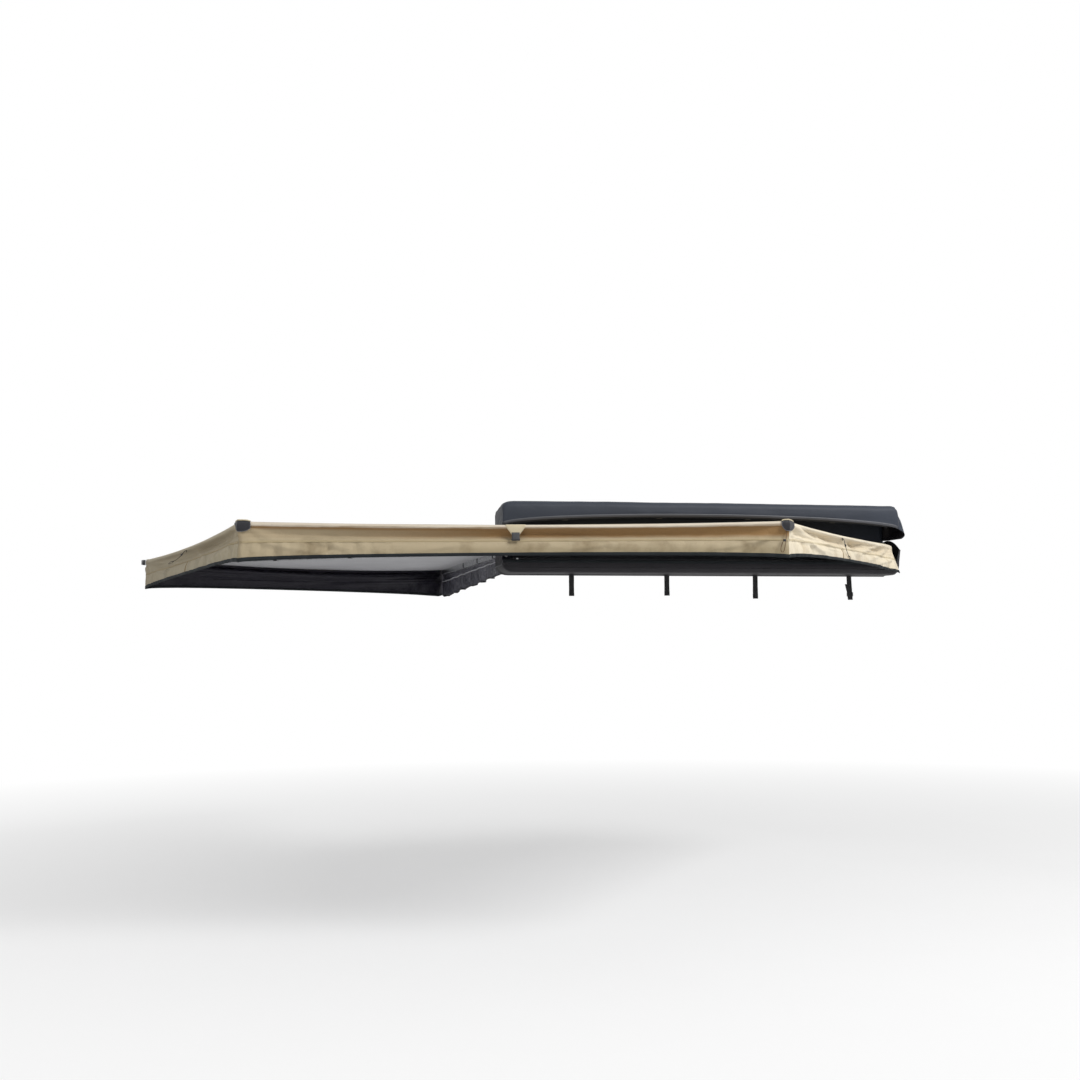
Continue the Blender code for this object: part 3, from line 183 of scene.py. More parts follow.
def curve_through(points, share):
    """Point on a smooth line through evenly spaced points."""
    last = len(points) - 1
    place = min(max(share, 0.0), 1.0) * last
    index = min(int(place), last - 1)
    b, c = points[index], points[index + 1]
    a = points[index - 1] if index else b * 2 - c
    d = points[index + 2] if index + 2 <= last else c * 2 - b
    return curve(a, b, c, d, place - index)


def value_through(pairs, place):
    """Smoothly read a value from (place, value) pairs."""
    for (low, first), (high, second) in zip(pairs, pairs[1:]):
        if place <= high:
            return mix(first, second, ease((place - low) / (high - low)))
    return pairs[-1][1]


def rumple(x, y, seed, scale):
    """Seeded smooth noise from -1 to 1 over two lengths in metres."""
    return noise.noise(Vector((x * scale, y * scale, seed * 7.31)))


def window(value, start, full, fade, end):
    """1 between full and fade, easing to 0 at start and end."""
    return ease((value - start) / (full - start)) * (1.0 - ease((value - fade) / (end - fade)))


def ways_along(points, closed=False):
    """Unit direction of a line at each of its points."""
    count = len(points)
    if closed:
        return [(points[(i + 1) % count] - points[i - 1]).normalized() for i in range(count)]
    return [(points[min(i + 1, count - 1)] - points[max(i - 1, 0)]).normalized() for i in range(count)]


# Shader groups and materials

def group(name, inputs, outputs):
    """A new shader node group with its sockets; gives (tree, input node, output node)."""
    tree = bpy.data.node_groups.new(name, "ShaderNodeTree")
    for label, kind in inputs:
        tree.interface.new_socket(label, in_out="INPUT", socket_type=kind)
    for label, kind in outputs:
        tree.interface.new_socket(label, in_out="OUTPUT", socket_type=kind)
    return tree, tree.nodes.new("NodeGroupInput"), tree.nodes.new("NodeGroupOutput")


def fill(tree, node, values):
    """Fill a node's sockets with values or with links from other sockets."""
    for key, value in values.items():
        if isinstance(value, bpy.types.NodeSocket):
            tree.links.new(value, node.inputs[key])
        else:
            node.inputs[key].default_value = value
    return node


def add(tree, kind, values=None, **settings):
    """A node with some of its sockets and settings filled in."""
    node = tree.nodes.new(kind)
    for key, value in settings.items():
        setattr(node, key, value)
    return fill(tree, node, values or {})


def maths(tree, operation, first, second=0.0, third=0.5):
    """One sum of two or three values or sockets."""
    return add(tree, "ShaderNodeMath", {0: first, 1: second, 2: third}, operation=operation).outputs[0]


def remap(tree, value, low, high, to_low=0.0, to_high=1.0):
    """A value taken from the range low to high into another range."""
    return add(tree, "ShaderNodeMapRange", {"Value": value, "From Min": low, "From Max": high,
                                            "To Min": to_low, "To Max": to_high}).outputs[0]


def bump(tree, height, strength, distance, below=None):
    """A bump of a stated depth, over another one where it is given."""
    values = {"Height": height, "Strength": strength, "Distance": distance}
    if below:
        values["Normal"] = below
    return add(tree, "ShaderNodeBump", values).outputs[0]


def blend_colours(tree, share, first, second):
    """A colour between two colours."""
    node = tree.nodes.new("ShaderNodeMix")
    node.data_type = "RGBA"
    for socket, value in (("Factor_Float", share), ("A_Color", first), ("B_Color", second)):
        target = next(s for s in node.inputs if s.identifier == socket)
        if isinstance(value, bpy.types.NodeSocket):
            tree.links.new(value, target)
        else:
            target.default_value = value
    return next(s for s in node.outputs if s.identifier == "Result_Color")


def weave_group():
    """Plain weave with a coarser ripstop grid over a cloth's own lengths."""
    tree, start, end = group(
        "cloth_weave", [("Place", "NodeSocketVector"), ("Threads", "NodeSocketFloat"),
                        ("Grid", "NodeSocketFloat")],
        [("Height", "NodeSocketFloat"), ("Tone", "NodeSocketFloat")])
    parts = add(tree, "ShaderNodeSeparateXYZ", {0: start.outputs["Place"]})
    threads = []
    lines = []
    for axis in ("X", "Y"):
        turns = maths(tree, "MULTIPLY", parts.outputs[axis], start.outputs["Threads"])
        threads.append(maths(tree, "SINE", turns))
        cells = maths(tree, "MULTIPLY", parts.outputs[axis], start.outputs["Grid"])
        saw = maths(tree, "PINGPONG", cells, 0.5)
        lines.append(maths(tree, "LESS_THAN", saw, 0.055))
    over = maths(tree, "MULTIPLY", threads[0], threads[1])
    grid = maths(tree, "MAXIMUM", lines[0], lines[1])
    height = maths(tree, "ADD", over, maths(tree, "MULTIPLY", grid, 1.4))
    tree.links.new(height, end.inputs["Height"])
    tree.links.new(maths(tree, "MULTIPLY_ADD", grid, -0.5, 0.5), end.inputs["Tone"])
    return tree


def mottle_group():
    """Large soft patches and fine specks, for uneven dye, dust and handling, and for the flap's patches of
    painted sheen.
    """
    tree, start, end = group(
        "uneven_tone", [("Place", "NodeSocketVector"), ("Patches", "NodeSocketFloat"),
                        ("Specks", "NodeSocketFloat")],
        [("Tone", "NodeSocketFloat"), ("Fine", "NodeSocketFloat")])
    patches = add(tree, "ShaderNodeTexNoise", {"Vector": start.outputs["Place"],
                                               "Scale": start.outputs["Patches"], "Detail": 5.0,
                                               "Roughness": 0.55})
    specks = add(tree, "ShaderNodeTexNoise", {"Vector": start.outputs["Place"],
                                              "Scale": start.outputs["Specks"], "Detail": 3.0,
                                              "Roughness": 0.6})
    tree.links.new(patches.outputs["Fac"], end.inputs["Tone"])
    tree.links.new(specks.outputs["Fac"], end.inputs["Fine"])
    return tree


def crease_group():
    """Fine crumples: folded noise whose ridges are sharp."""
    tree, start, end = group(
        "fine_creases", [("Place", "NodeSocketVector"), ("Size", "NodeSocketFloat")],
        [("Height", "NodeSocketFloat")])
    wide = add(tree, "ShaderNodeTexNoise", {"Vector": start.outputs["Place"], "Scale": start.outputs["Size"],
                                            "Detail": 3.0, "Roughness": 0.5, "Distortion": 0.6})
    ridge = maths(tree, "ABSOLUTE", maths(tree, "SUBTRACT", wide.outputs["Fac"], 0.5))
    tree.links.new(maths(tree, "POWER", maths(tree, "MULTIPLY", ridge, 4.0), 0.6), end.inputs["Height"])
    return tree


WEAVE = weave_group()
MOTTLE = mottle_group()
CREASES = crease_group()


def use(tree, made, values):
    """A shader group placed in a material."""
    return fill(tree, add(tree, "ShaderNodeGroup", node_tree=made), values)


def new_material(name):
    """A material with only its shader; gives (material, tree, shader)."""
    made = bpy.data.materials.new(name)
    made.use_nodes = True
    return made, made.node_tree, made.node_tree.nodes["Principled BSDF"]


def colour(red, green, blue):
    """An opaque linear colour."""
    return (red, green, blue, 1.0)


def cloth_place(tree):
    """A cloth's own lengths, in metres."""
    return tree.nodes.new("ShaderNodeUVMap").outputs["UV"]


def solid_place(tree):
    """A solid piece's place in the frame, in metres."""
    return add(tree, "ShaderNodeTexCoord").outputs["Object"]


def finish_cloth(tree, shader, tint, gloss, crease, crease_height, weave, weave_height):
    """Join a cloth's colour, gloss, creases and threads to its shader."""
    folds = bump(tree, crease.outputs["Height"], 0.5, crease_height)
    threads = bump(tree, weave.outputs["Height"], 0.5, weave_height, folds)
    fill(tree, shader, {"Base Color": tint, "Roughness": gloss, "Normal": threads, "Sheen Roughness": 0.5})


# A canvas's threads, in radians of a wave to the metre, and its ripstop lines to the metre
THREADS = 3600.0
RIPSTOP = 170.0


def cloth_material(name, light, dark, rough, weave_height, crease_height, crease_size=9.0,
                   threads=THREADS, grid=RIPSTOP, sheen=0.0, shine=0.35):
    """Woven or coated cloth: weave and ripstop, soft creases and uneven dye, which on the flap is painted
    sheen.
    """
    made, tree, shader = new_material(name)
    place = cloth_place(tree)
    weave = use(tree, WEAVE, {"Place": place, "Threads": threads, "Grid": grid})
    tone = use(tree, MOTTLE, {"Place": place, "Patches": 2.2, "Specks": 60.0})
    crease = use(tree, CREASES, {"Place": place, "Size": crease_size})
    share = maths(tree, "MULTIPLY_ADD", tone.outputs["Tone"], 1.7, -0.35)
    share = maths(tree, "ADD", share, maths(tree, "MULTIPLY", weave.outputs["Tone"], 0.12))
    clamp = add(tree, "ShaderNodeClamp", {"Value": share}).outputs[0]
    tint = blend_colours(tree, clamp, colour(*dark), colour(*light))
    gloss = remap(tree, tone.outputs["Fine"], 0.0, 1.0, rough - 0.06, rough + 0.06)
    finish_cloth(tree, shader, tint, gloss, crease, crease_height, weave, weave_height)
    fill(tree, shader, {"Sheen Weight": sheen, "Specular IOR Level": shine})
    return made


def skirt_light_and_shade_bands(tree, down, tone, roll, hollow_shade, middle, low):
    """A skirt's colour from its roll down to its hem, in uneven bands: a painted highlight on the roll,
    painted shade in the concave fold under it.
    """
    uneven = remap(tree, tone.outputs["Tone"], 0.0, 1.0, -0.012, 0.012)
    band = maths(tree, "MULTIPLY", maths(tree, "ADD", down, uneven), 5.0)
    ramp = add(tree, "ShaderNodeValToRGB", {0: band})
    stops = ramp.color_ramp.elements
    # The roll stop is a painted highlight; the two hollow stops are painted shade under the roll
    stops[0].position, stops[0].color = 0.09, roll
    stops[1].position, stops[1].color = 0.16, hollow_shade
    for at, shade in ((0.37, hollow_shade), (0.48, middle), (0.62, middle), (0.74, low)):
        stops.new(at).color = shade
    return ramp.outputs[0]


def skirt_fold_shade_streaks(tree, place, parts, lit_and_shaded_bands, hollow_shade, middle):
    """Painted shade of long folds: dark streaks in the concave fold under a skirt's roll, whose painted
    shade narrows towards its far corner.
    """
    down = parts["Y"]
    drawn = add(tree, "ShaderNodeMapping", {"Vector": place, "Scale": (0.9, 34.0, 1.0)}).outputs[0]
    streak = add(tree, "ShaderNodeTexNoise", {"Vector": drawn, "Scale": 2.0, "Detail": 3.0,
                                              "Distortion": 0.5})
    streak = remap(tree, streak.outputs["Fac"], 0.44, 0.64)
    above = remap(tree, down, 0.105, 0.045, 0.0, 0.75)
    start = remap(tree, down, 0.008, 0.018)
    share = maths(tree, "MULTIPLY", maths(tree, "MULTIPLY", streak, above), start)
    fold_shaded = blend_colours(tree, share, lit_and_shaded_bands, hollow_shade)
    far = remap(tree, parts["X"], 1.35, 2.15, 0.0, 0.85)
    wide = remap(tree, down, 0.034, 0.052)
    return blend_colours(tree, maths(tree, "MULTIPLY", far, wide), fold_shaded, middle)


def skirt_material(name, roll, hollow_shade, middle, low, stain):
    """Canvas with painted light that follows the skirt: a painted highlight on its roll, painted shade in
    the concave fold under it, blotched below.
    """
    made, tree, shader = new_material(name)
    roll, hollow_shade, middle, low, stain = [colour(*shade) for shade in (roll, hollow_shade, middle, low, stain)]
    place = cloth_place(tree)
    parts = add(tree, "ShaderNodeSeparateXYZ", {0: place}).outputs
    weave = use(tree, WEAVE, {"Place": place, "Threads": THREADS, "Grid": RIPSTOP})
    tone = use(tree, MOTTLE, {"Place": place, "Patches": 5.5, "Specks": 46.0})
    crease = use(tree, CREASES, {"Place": place, "Size": 13.0})
    lit_and_shaded_bands = skirt_light_and_shade_bands(tree, parts["Y"], tone, roll, hollow_shade, middle, low)
    blotch = remap(tree, tone.outputs["Tone"], 0.50, 0.66)
    below = remap(tree, parts["Y"], 0.070, 0.115, 0.0, 0.7)
    # Painted shade of long folds, streaked into the concave fold under the roll
    fold_shaded = skirt_fold_shade_streaks(tree, place, parts, lit_and_shaded_bands, hollow_shade, middle)
    stained = blend_colours(tree, maths(tree, "MULTIPLY", blotch, below), fold_shaded, stain)
    thread_tone = maths(tree, "MULTIPLY", maths(tree, "ABSOLUTE", weave.outputs["Tone"]), 0.16)
    tint = blend_colours(tree, thread_tone, stained, stain)
    gloss = remap(tree, tone.outputs["Fine"], 0.0, 1.0, 0.74, 0.90)
    finish_cloth(tree, shader, tint, gloss, crease, 0.0022, weave, 0.00022)
    fill(tree, shader, {"Sheen Weight": 0.10, "Specular IOR Level": 0.30})
    return made


def webbing_material(name, light, dark, ribs=2600.0):
    """Woven tape with ribs along its width and a slight edge."""
    made, tree, shader = new_material(name)
    place = cloth_place(tree)
    parts = add(tree, "ShaderNodeSeparateXYZ", {0: place})
    across = maths(tree, "SINE", maths(tree, "MULTIPLY", parts.outputs["X"], ribs))
    along = maths(tree, "SINE", maths(tree, "MULTIPLY", parts.outputs["Y"], ribs * 0.6))
    height = maths(tree, "ADD", across, maths(tree, "MULTIPLY", along, 0.5))
    tone = use(tree, MOTTLE, {"Place": place, "Patches": 14.0, "Specks": 240.0})
    tint = blend_colours(tree, tone.outputs["Tone"], colour(*dark), colour(*light))
    fill(tree, shader, {"Base Color": tint,
                        "Normal": bump(tree, height, 0.6, 0.0004),
                        "Roughness": remap(tree, tone.outputs["Fine"], 0.0, 1.0, 0.62, 0.86)})
    return made


def hard_material(name, light, dark, metal, rough_low, rough_high, patches, specks, grain,
                  streak=(1.0, 1.0, 1.0)):
    """Metal or moulded plastic: streaks or specks in tone, gloss and grain."""
    made, tree, shader = new_material(name)
    drawn = add(tree, "ShaderNodeMapping", {"Vector": solid_place(tree), "Scale": streak}).outputs[0]
    tone = use(tree, MOTTLE, {"Place": drawn, "Patches": patches, "Specks": specks})
    tint = blend_colours(tree, tone.outputs["Tone"], colour(*dark), colour(*light))
    fill(tree, shader, {"Base Color": tint,
                        "Roughness": remap(tree, tone.outputs["Fine"], 0.3, 0.7, rough_low, rough_high),
                        "Normal": bump(tree, tone.outputs["Fine"], 0.4, grain), "Metallic": metal})
    return made


# PVC-coated cloth shows a finer thread and no ripstop grid
COATED = {"threads": 2600.0, "grid": 0.0}
DRAWN_ALONG = (0.05, 1.0, 1.0)

TAN_CANVAS = cloth_material(
    "tan_canvas", (0.43, 0.35, 0.215), (0.36, 0.29, 0.17), rough=0.82, weave_height=0.00022,
    crease_height=0.0011, sheen=0.12)
# A lighter copy of the tan canvas, painted as lit: for the first skirt's seam, the tie-out tab and the
# corner cap's roll
PAINTED_LIT_CANVAS = cloth_material(
    "painted_lit_canvas", (0.62, 0.54, 0.38), (0.52, 0.44, 0.29), rough=0.80, weave_height=0.00022,
    crease_height=0.0016, crease_size=12.0, sheen=0.12)
# Copies of one tan canvas for the skirts: each roll colour is a painted highlight and each hollow colour
# painted shade; the first skirt's copy is brighter all over, painted as lit
PAINTED_LIT_SKIRT = skirt_material(
    "painted_lit_skirt", roll=(0.74, 0.67, 0.53), hollow_shade=(0.66, 0.57, 0.42), middle=(0.72, 0.64, 0.49),
    low=(0.68, 0.60, 0.46), stain=(0.47, 0.38, 0.25))
NEAR_SKIRT = skirt_material(
    "near_skirt", roll=(0.68, 0.61, 0.50), hollow_shade=(0.27, 0.155, 0.060), middle=(0.43, 0.355, 0.235),
    low=(0.36, 0.295, 0.185), stain=(0.20, 0.150, 0.08))
REAR_SKIRT = skirt_material(
    "rear_skirt", roll=(0.52, 0.455, 0.33), hollow_shade=(0.35, 0.29, 0.19), middle=(0.44, 0.38, 0.265),
    low=(0.42, 0.365, 0.25), stain=(0.27, 0.225, 0.145))
CAP_RIM = cloth_material(
    "cap_rim", (0.16, 0.16, 0.17), (0.09, 0.09, 0.10), rough=0.6, weave_height=0.00010,
    crease_height=0.0004, crease_size=60.0, **COATED)
GREY_UNDERSIDE = cloth_material(
    "grey_underside", (0.62, 0.62, 0.64), (0.50, 0.50, 0.52), rough=0.55, weave_height=0.00016,
    crease_height=0.0010, crease_size=5.0)
DARK_INSIDE = cloth_material(
    "dark_inside", (0.020, 0.018, 0.028), (0.008, 0.007, 0.013), rough=0.50, weave_height=0.00018,
    crease_height=0.0022, crease_size=7.0)
BAG_OUTER = cloth_material(
    "bag_outer", (0.036, 0.043, 0.059), (0.025, 0.030, 0.042), rough=0.55, weave_height=0.00012,
    crease_height=0.0012, crease_size=6.0, **COATED, shine=0.25)
TRAY_OUTER = cloth_material(
    "tray_outer", (0.016, 0.015, 0.016), (0.007, 0.007, 0.008), rough=0.50, weave_height=0.00012,
    crease_height=0.0014, crease_size=6.0, **COATED, shine=0.18)
BAG_PIPING = cloth_material(
    "bag_piping", (0.085, 0.088, 0.10), (0.05, 0.052, 0.06), rough=0.4, weave_height=0.00010,
    crease_height=0.0004, crease_size=60.0, **COATED)
BLACK_NYLON_CLOTH = cloth_material(
    "black_nylon_cloth", (0.018, 0.018, 0.023), (0.009, 0.009, 0.012), rough=0.5, weave_height=0.0004,
    crease_height=0.0008, crease_size=30.0, threads=2400.0, grid=0.0)
BAG_INNER = cloth_material(
    "bag_inner", (0.016, 0.014, 0.018), (0.007, 0.006, 0.009), rough=0.50, weave_height=0.00012,
    crease_height=0.0012, crease_size=8.0, **COATED)
# The flap is black PVC; its grey-blue colour and lighter patches are painted sheen, the reflection of its
# gloss
FLAP_PVC_PAINTED_SHEEN = cloth_material(
    "flap_pvc_painted_sheen", (0.19, 0.19, 0.23), (0.035, 0.035, 0.046), rough=0.20, weave_height=0.00008,
    crease_height=0.0060, crease_size=30.0, **COATED, shine=0.8)
HEM_TAPE = cloth_material(
    "hem_tape", (0.024, 0.028, 0.030), (0.010, 0.012, 0.014), rough=0.78, weave_height=0.00020,
    crease_height=0.0008, crease_size=40.0, threads=2200.0, grid=0.0, shine=0.16)
PIPING = cloth_material(
    "piping", (0.55, 0.55, 0.58), (0.38, 0.38, 0.41), rough=0.42, weave_height=0.00020,
    crease_height=0.0004, crease_size=60.0, threads=2200.0, grid=0.0)
SEAM_BROWN = cloth_material(
    "seam_brown", (0.30, 0.20, 0.09), (0.20, 0.13, 0.06), rough=0.8, weave_height=0.00020,
    crease_height=0.0004, crease_size=40.0)
THREAD = cloth_material(
    "thread", (0.40, 0.29, 0.15), (0.28, 0.20, 0.10), rough=0.7, weave_height=0.00010,
    crease_height=0.0002, threads=6000.0, grid=0.0)
WEBBING = webbing_material(
    "webbing", (0.020, 0.020, 0.022), (0.007, 0.007, 0.008))
GREY_WEBBING = webbing_material(
    "grey_webbing", (0.075, 0.077, 0.082), (0.035, 0.036, 0.040))
CORD_BLACK = webbing_material(
    "cord_black", (0.022, 0.022, 0.024), (0.008, 0.008, 0.009), ribs=3200.0)
CORD_TAN = webbing_material(
    "cord_tan", (0.15, 0.075, 0.025), (0.08, 0.04, 0.014), ribs=3200.0)
MILL_ALUMINIUM = hard_material(
    "mill_aluminium", (0.66, 0.67, 0.68), (0.55, 0.56, 0.57), metal=1.0, rough_low=0.26,
    rough_high=0.42, patches=5.0, specks=160.0, grain=0.00006, streak=DRAWN_ALONG)
ARM_ALUMINIUM = hard_material(
    "arm_aluminium", (0.68, 0.69, 0.70), (0.58, 0.59, 0.60), metal=1.0, rough_low=0.22, rough_high=0.36,
    patches=4.0, specks=140.0, grain=0.00005)
BLACK_COAT = hard_material(
    "black_coat", (0.030, 0.030, 0.032), (0.020, 0.020, 0.022), metal=0.0, rough_low=0.38,
    rough_high=0.55, patches=9.0, specks=700.0, grain=0.00012)
BLACK_ANODISED = hard_material(
    "black_anodised", (0.045, 0.045, 0.048), (0.030, 0.030, 0.033), metal=0.8, rough_low=0.36,
    rough_high=0.50, patches=5.0, specks=300.0, grain=0.00005, streak=DRAWN_ALONG)
ZINC_STEEL = hard_material(
    "zinc_steel", (0.60, 0.60, 0.58), (0.46, 0.47, 0.48), metal=1.0, rough_low=0.24, rough_high=0.42,
    patches=40.0, specks=300.0, grain=0.00004)
BLACK_NYLON = hard_material(
    "black_nylon", (0.024, 0.024, 0.026), (0.015, 0.015, 0.016), metal=0.0, rough_low=0.36,
    rough_high=0.52, patches=16.0, specks=900.0, grain=0.00008)


# Mesh makers

def mesh_piece(name, points, faces, materials, uvs=None):
    """A smooth-shaded mesh object; uvs are lengths per point."""
    mesh = bpy.data.meshes.new(name)
    mesh.from_pydata([tuple(p) for p in points], [], faces)
    for material in materials:
        mesh.materials.append(material)
    layer = mesh.uv_layers.new(name="UVMap")
    if uvs:
        for loop in mesh.loops:
            layer.data[loop.index].uv = uvs[loop.vertex_index]
    for face in mesh.polygons:
        face.use_smooth = True
    made = bpy.data.objects.new(name, mesh)
    bpy.context.scene.collection.objects.link(made)
    return made


def lengths_over(rows):
    """Each point's lengths along its row and across the rows, in metres."""
    across = 0.0
    uvs = []
    middle = len(rows[0]) // 2
    for number, row in enumerate(rows):
        if number:
            across += (row[middle] - rows[number - 1][middle]).length
        along = 0.0
        for index, point in enumerate(row):
            if index:
                along += (point - row[index - 1]).length
            uvs.append((along, across))
    return uvs


def surface(name, rows, materials):
    """A grid of quads through rows of points, with metric lengths as its UVs."""
    wide = len(rows[0])
    faces = []
    for start in range(0, (len(rows) - 1) * wide, wide):
        for corner in range(start, start + wide - 1):
            faces.append((corner, corner + 1, corner + wide + 1, corner + wide))
    points = [point for row in rows for point in row]
    return mesh_piece(name, points, faces, materials, lengths_over(rows))


def thicken(piece, thick, side=0.0, lining=False):
    """Give a surface its thickness, with the second material on its lining."""
    wall = piece.modifiers.new("thickness", "SOLIDIFY")
    wall.thickness = thick
    wall.offset = side
    wall.use_even_offset = False
    wall.material_offset = int(lining)
    return piece


def weigh(piece):
    """Bake a piece's place into its mesh."""
    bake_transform(piece)
    return piece


def hang(piece):
    """Bake the place of a piece of canopy panel 1 to 4 into its mesh."""
    return weigh(piece)


def hang_whole(pieces):
    """Bake the places of whole pieces of canopy panel 1 to 4 into their meshes."""
    for piece in pieces:
        hang(piece)


def tube(name, path, radius, material, sides=10, closed=False):
    """A round tube along a path, capped unless it is closed."""
    path = [Vector(p) for p in path]
    turns = [math.tau * i / sides for i in range(sides)]
    rows = []
    side = None
    for point, way in zip(path, ways_along(path, closed)):
        if side is None:
            side = way.cross(UP) if abs(way.z) < 0.9 else way.cross(Vector((1.0, 0.0, 0.0)))
        side = (side - way * side.dot(way)).normalized()
        top = way.cross(side)
        rows.append([point + (side * math.cos(turn) + top * math.sin(turn)) * radius for turn in turns])
    count = len(path)
    faces = []
    for row in range(count if closed else count - 1):
        after = (row + 1) % count
        for i in range(sides):
            j = (i + 1) % sides
            faces.append((row * sides + i, row * sides + j, after * sides + j, after * sides + i))
    if not closed:
        faces.append(tuple(range(sides))[::-1])
        faces.append(tuple((count - 1) * sides + i for i in range(sides)))
    points = [p for row in rows for p in row]
    return mesh_piece(name, points, faces, [material], lengths_over(rows))


def block(name, size, place, ways, material, bevel):
    """A box with rounded edges; ways are its three unit directions."""
    halves = [way * (length / 2) for way, length in zip(ways, size)]
    corners = [Vector(place) + halves[0] * x + halves[1] * y + halves[2] * z
               for x in (-1, 1) for y in (-1, 1) for z in (-1, 1)]
    faces = [(0, 1, 3, 2), (4, 6, 7, 5), (0, 4, 5, 1), (2, 3, 7, 6), (0, 2, 6, 4), (1, 5, 7, 3)]
    made = mesh_piece(name, corners, faces, [material])
    rounding = made.modifiers.new("rounding", "BEVEL")
    rounding.width = bevel
    rounding.segments = 3
    return made


STITCH_RISE = 0.0007


def stitches(name, points, ways, outs, material, pitch=0.006, size=0.0042):
    """A row of sewn stitches, small crowned dashes; gives it and each point's place on the line."""
    corners = []
    faces = []
    seats = []
    travel = 0.0
    for index in range(1, len(points)):
        step = (points[index] - points[index - 1]).length
        while travel < step:
            share = travel / step
            middle = points[index - 1].lerp(points[index], share)
            way = ways[index] * (size / 2)
            out = outs[index] * STITCH_RISE
            side = ways[index].cross(outs[index]) * (STITCH_RISE * 0.8)
            base = len(corners)
            corners += [middle - way, middle - side + out * 0.2, middle + way, middle + side + out * 0.2,
                        middle + out]
            faces += [(base, base + 1, base + 4), (base + 1, base + 2, base + 4),
                      (base + 2, base + 3, base + 4), (base + 3, base, base + 4),
                      (base + 3, base + 2, base + 1, base)]
            seats += [(index - 1, share)] * 5
            travel += pitch
        travel -= step
    return mesh_piece(name, corners, faces, [material]), seats


# Canopy shape

def arm_way(index):
    """Unit vector along an open arm."""
    angle = math.radians(ARM_ANGLES[index - 1])
    return Vector((math.cos(angle), -math.sin(angle), 0.0))


def arm_left(index):
    """Level unit vector to an arm's left, seen from the pin."""
    way = arm_way(index)
    return Vector((-way.y, way.x, 0.0))


def arm_top(index, radius):
    """Point on the middle of an arm's upper face."""
    side = -ARM_SIDE_STEP if index % 2 == 0 else 0.0
    point = PIN + arm_way(index) * radius + arm_left(index) * side
    layer = LAYER_RISE if index < 3 else -LAYER_RISE
    point.z = HUB_Z + layer + TUBE_HEIGHT / 2 - DROOP_SLOPE * max(0.0, radius - TUBE_START)
    return point


def case_line(radius):
    """The first panel's fixed edge: along the rail, then out to the bag's front."""
    swing = ease((radius - (CORNER_RADIUS - RAIL_SWING)) / RAIL_SWING)
    y = PLATE_FRONT - GAP * 2 - RAIL_THICK - CLOTH
    return Vector((PIN.x + radius, mix(y, PIN.y - FRONT_CORNER_OUT, swing),
                   mix(HUB_Z + RAIL_RISE, HUB_Z + FRONT_CORNER_RISE, swing)))


def side_line(index, radius):
    """Edge line of the canopy: 0 is the case, 1 to 4 are the arms."""
    if index == 0:
        return case_line(radius)
    return arm_top(index, radius) + UP * (GAP + CLOTH / 2)


def roof_place(index, radius, share):
    """Point on the roof and how far it has left its first side, from 0 to 1."""
    one = side_line(index - 1, radius)
    two = side_line(index, radius)
    width = (two - one).length
    rest = min(1.0, max(0.0, (share * width - ARM_MARGIN) / (width - 2 * ARM_MARGIN)))
    inset = SEAM_GAP / width
    point = one.lerp(two, mix(inset, 1.0 - inset, share))
    far = radius / CORNER_RADIUS
    point.z = mix(one.z, two.z, rest) - ROOF_SAGS[index - 1] * bow(rest) * far ** 2
    inward = PIN - (one + two) / 2
    inward.z = 0.0
    point += inward.normalized() * EDGE_HOLLOW * bow(share) * far ** 4
    if index == 1:
        point.x -= FRONT_CORNER_SHORT * (1.0 - ease(share / 0.10)) * far ** 8
    return point, rest


def tension_ripple(index, radius, rest):
    """Small radial ripples of the stretched roof, none where it lies on an arm."""
    far = radius / CORNER_RADIUS
    waves = math.sin(rest * math.tau * 3.0 + index) * 0.0022
    spread = waves + rumple(rest * 3.0, radius, index, 1.6) * 0.0050
    return spread * bow(rest) * far * (1.0 - 0.8 * ease((far - 0.94) / 0.06))


def roof_shares(index, radius, steps):
    """Where the roof's lengthwise lines lie: close beside each arm, then evenly."""
    width = (side_line(index, radius) - side_line(index - 1, radius)).length
    side = ARM_MARGIN / width
    return [0.0] + [mix(side, 1.0 - side, i / steps) for i in range(steps + 1)] + [1.0]


def edge_ways(index):
    """Level unit vectors along a panel's outer edge and away from the hub."""
    one = side_line(index - 1, CORNER_RADIUS)
    two = side_line(index, CORNER_RADIUS)
    along = two - one
    along.z = 0.0
    along.normalize()
    outward = Vector((along.y, -along.x, 0.0))
    if outward.dot((one + two) / 2 - PIN) < 0:
        outward = -outward
    return along, outward


def mitre(index):
    """Outward way of the sewn corner over an arm, as long as the mitre needs."""
    first = edge_ways(index)[1]
    second = edge_ways(index + 1)[1]
    half = first.angle(second) / 2
    return (first + second).normalized() / math.cos(half)


# Skirts: one continuous fold from the rolled edge to the hem

CORNER_ZONE = 0.030
LAST_SKIRT_REACH = 0.030
LAST_HEM_RISE = 0.022
CORNER_SWELL = 0.0095
# Opening in the cloth round the third arm's stub: room beside it, and how far down it goes
STUB_ROOM = 0.017
STUB_DROP = 0.036
STUB_CLOSE = 0.020
SKIRT_STEPS = 150
SKIRT_RINGS = 30
STITCH_STEPS = 240
FOLD_GAIN = (1.5, 0.9, 1.0, 1.2)
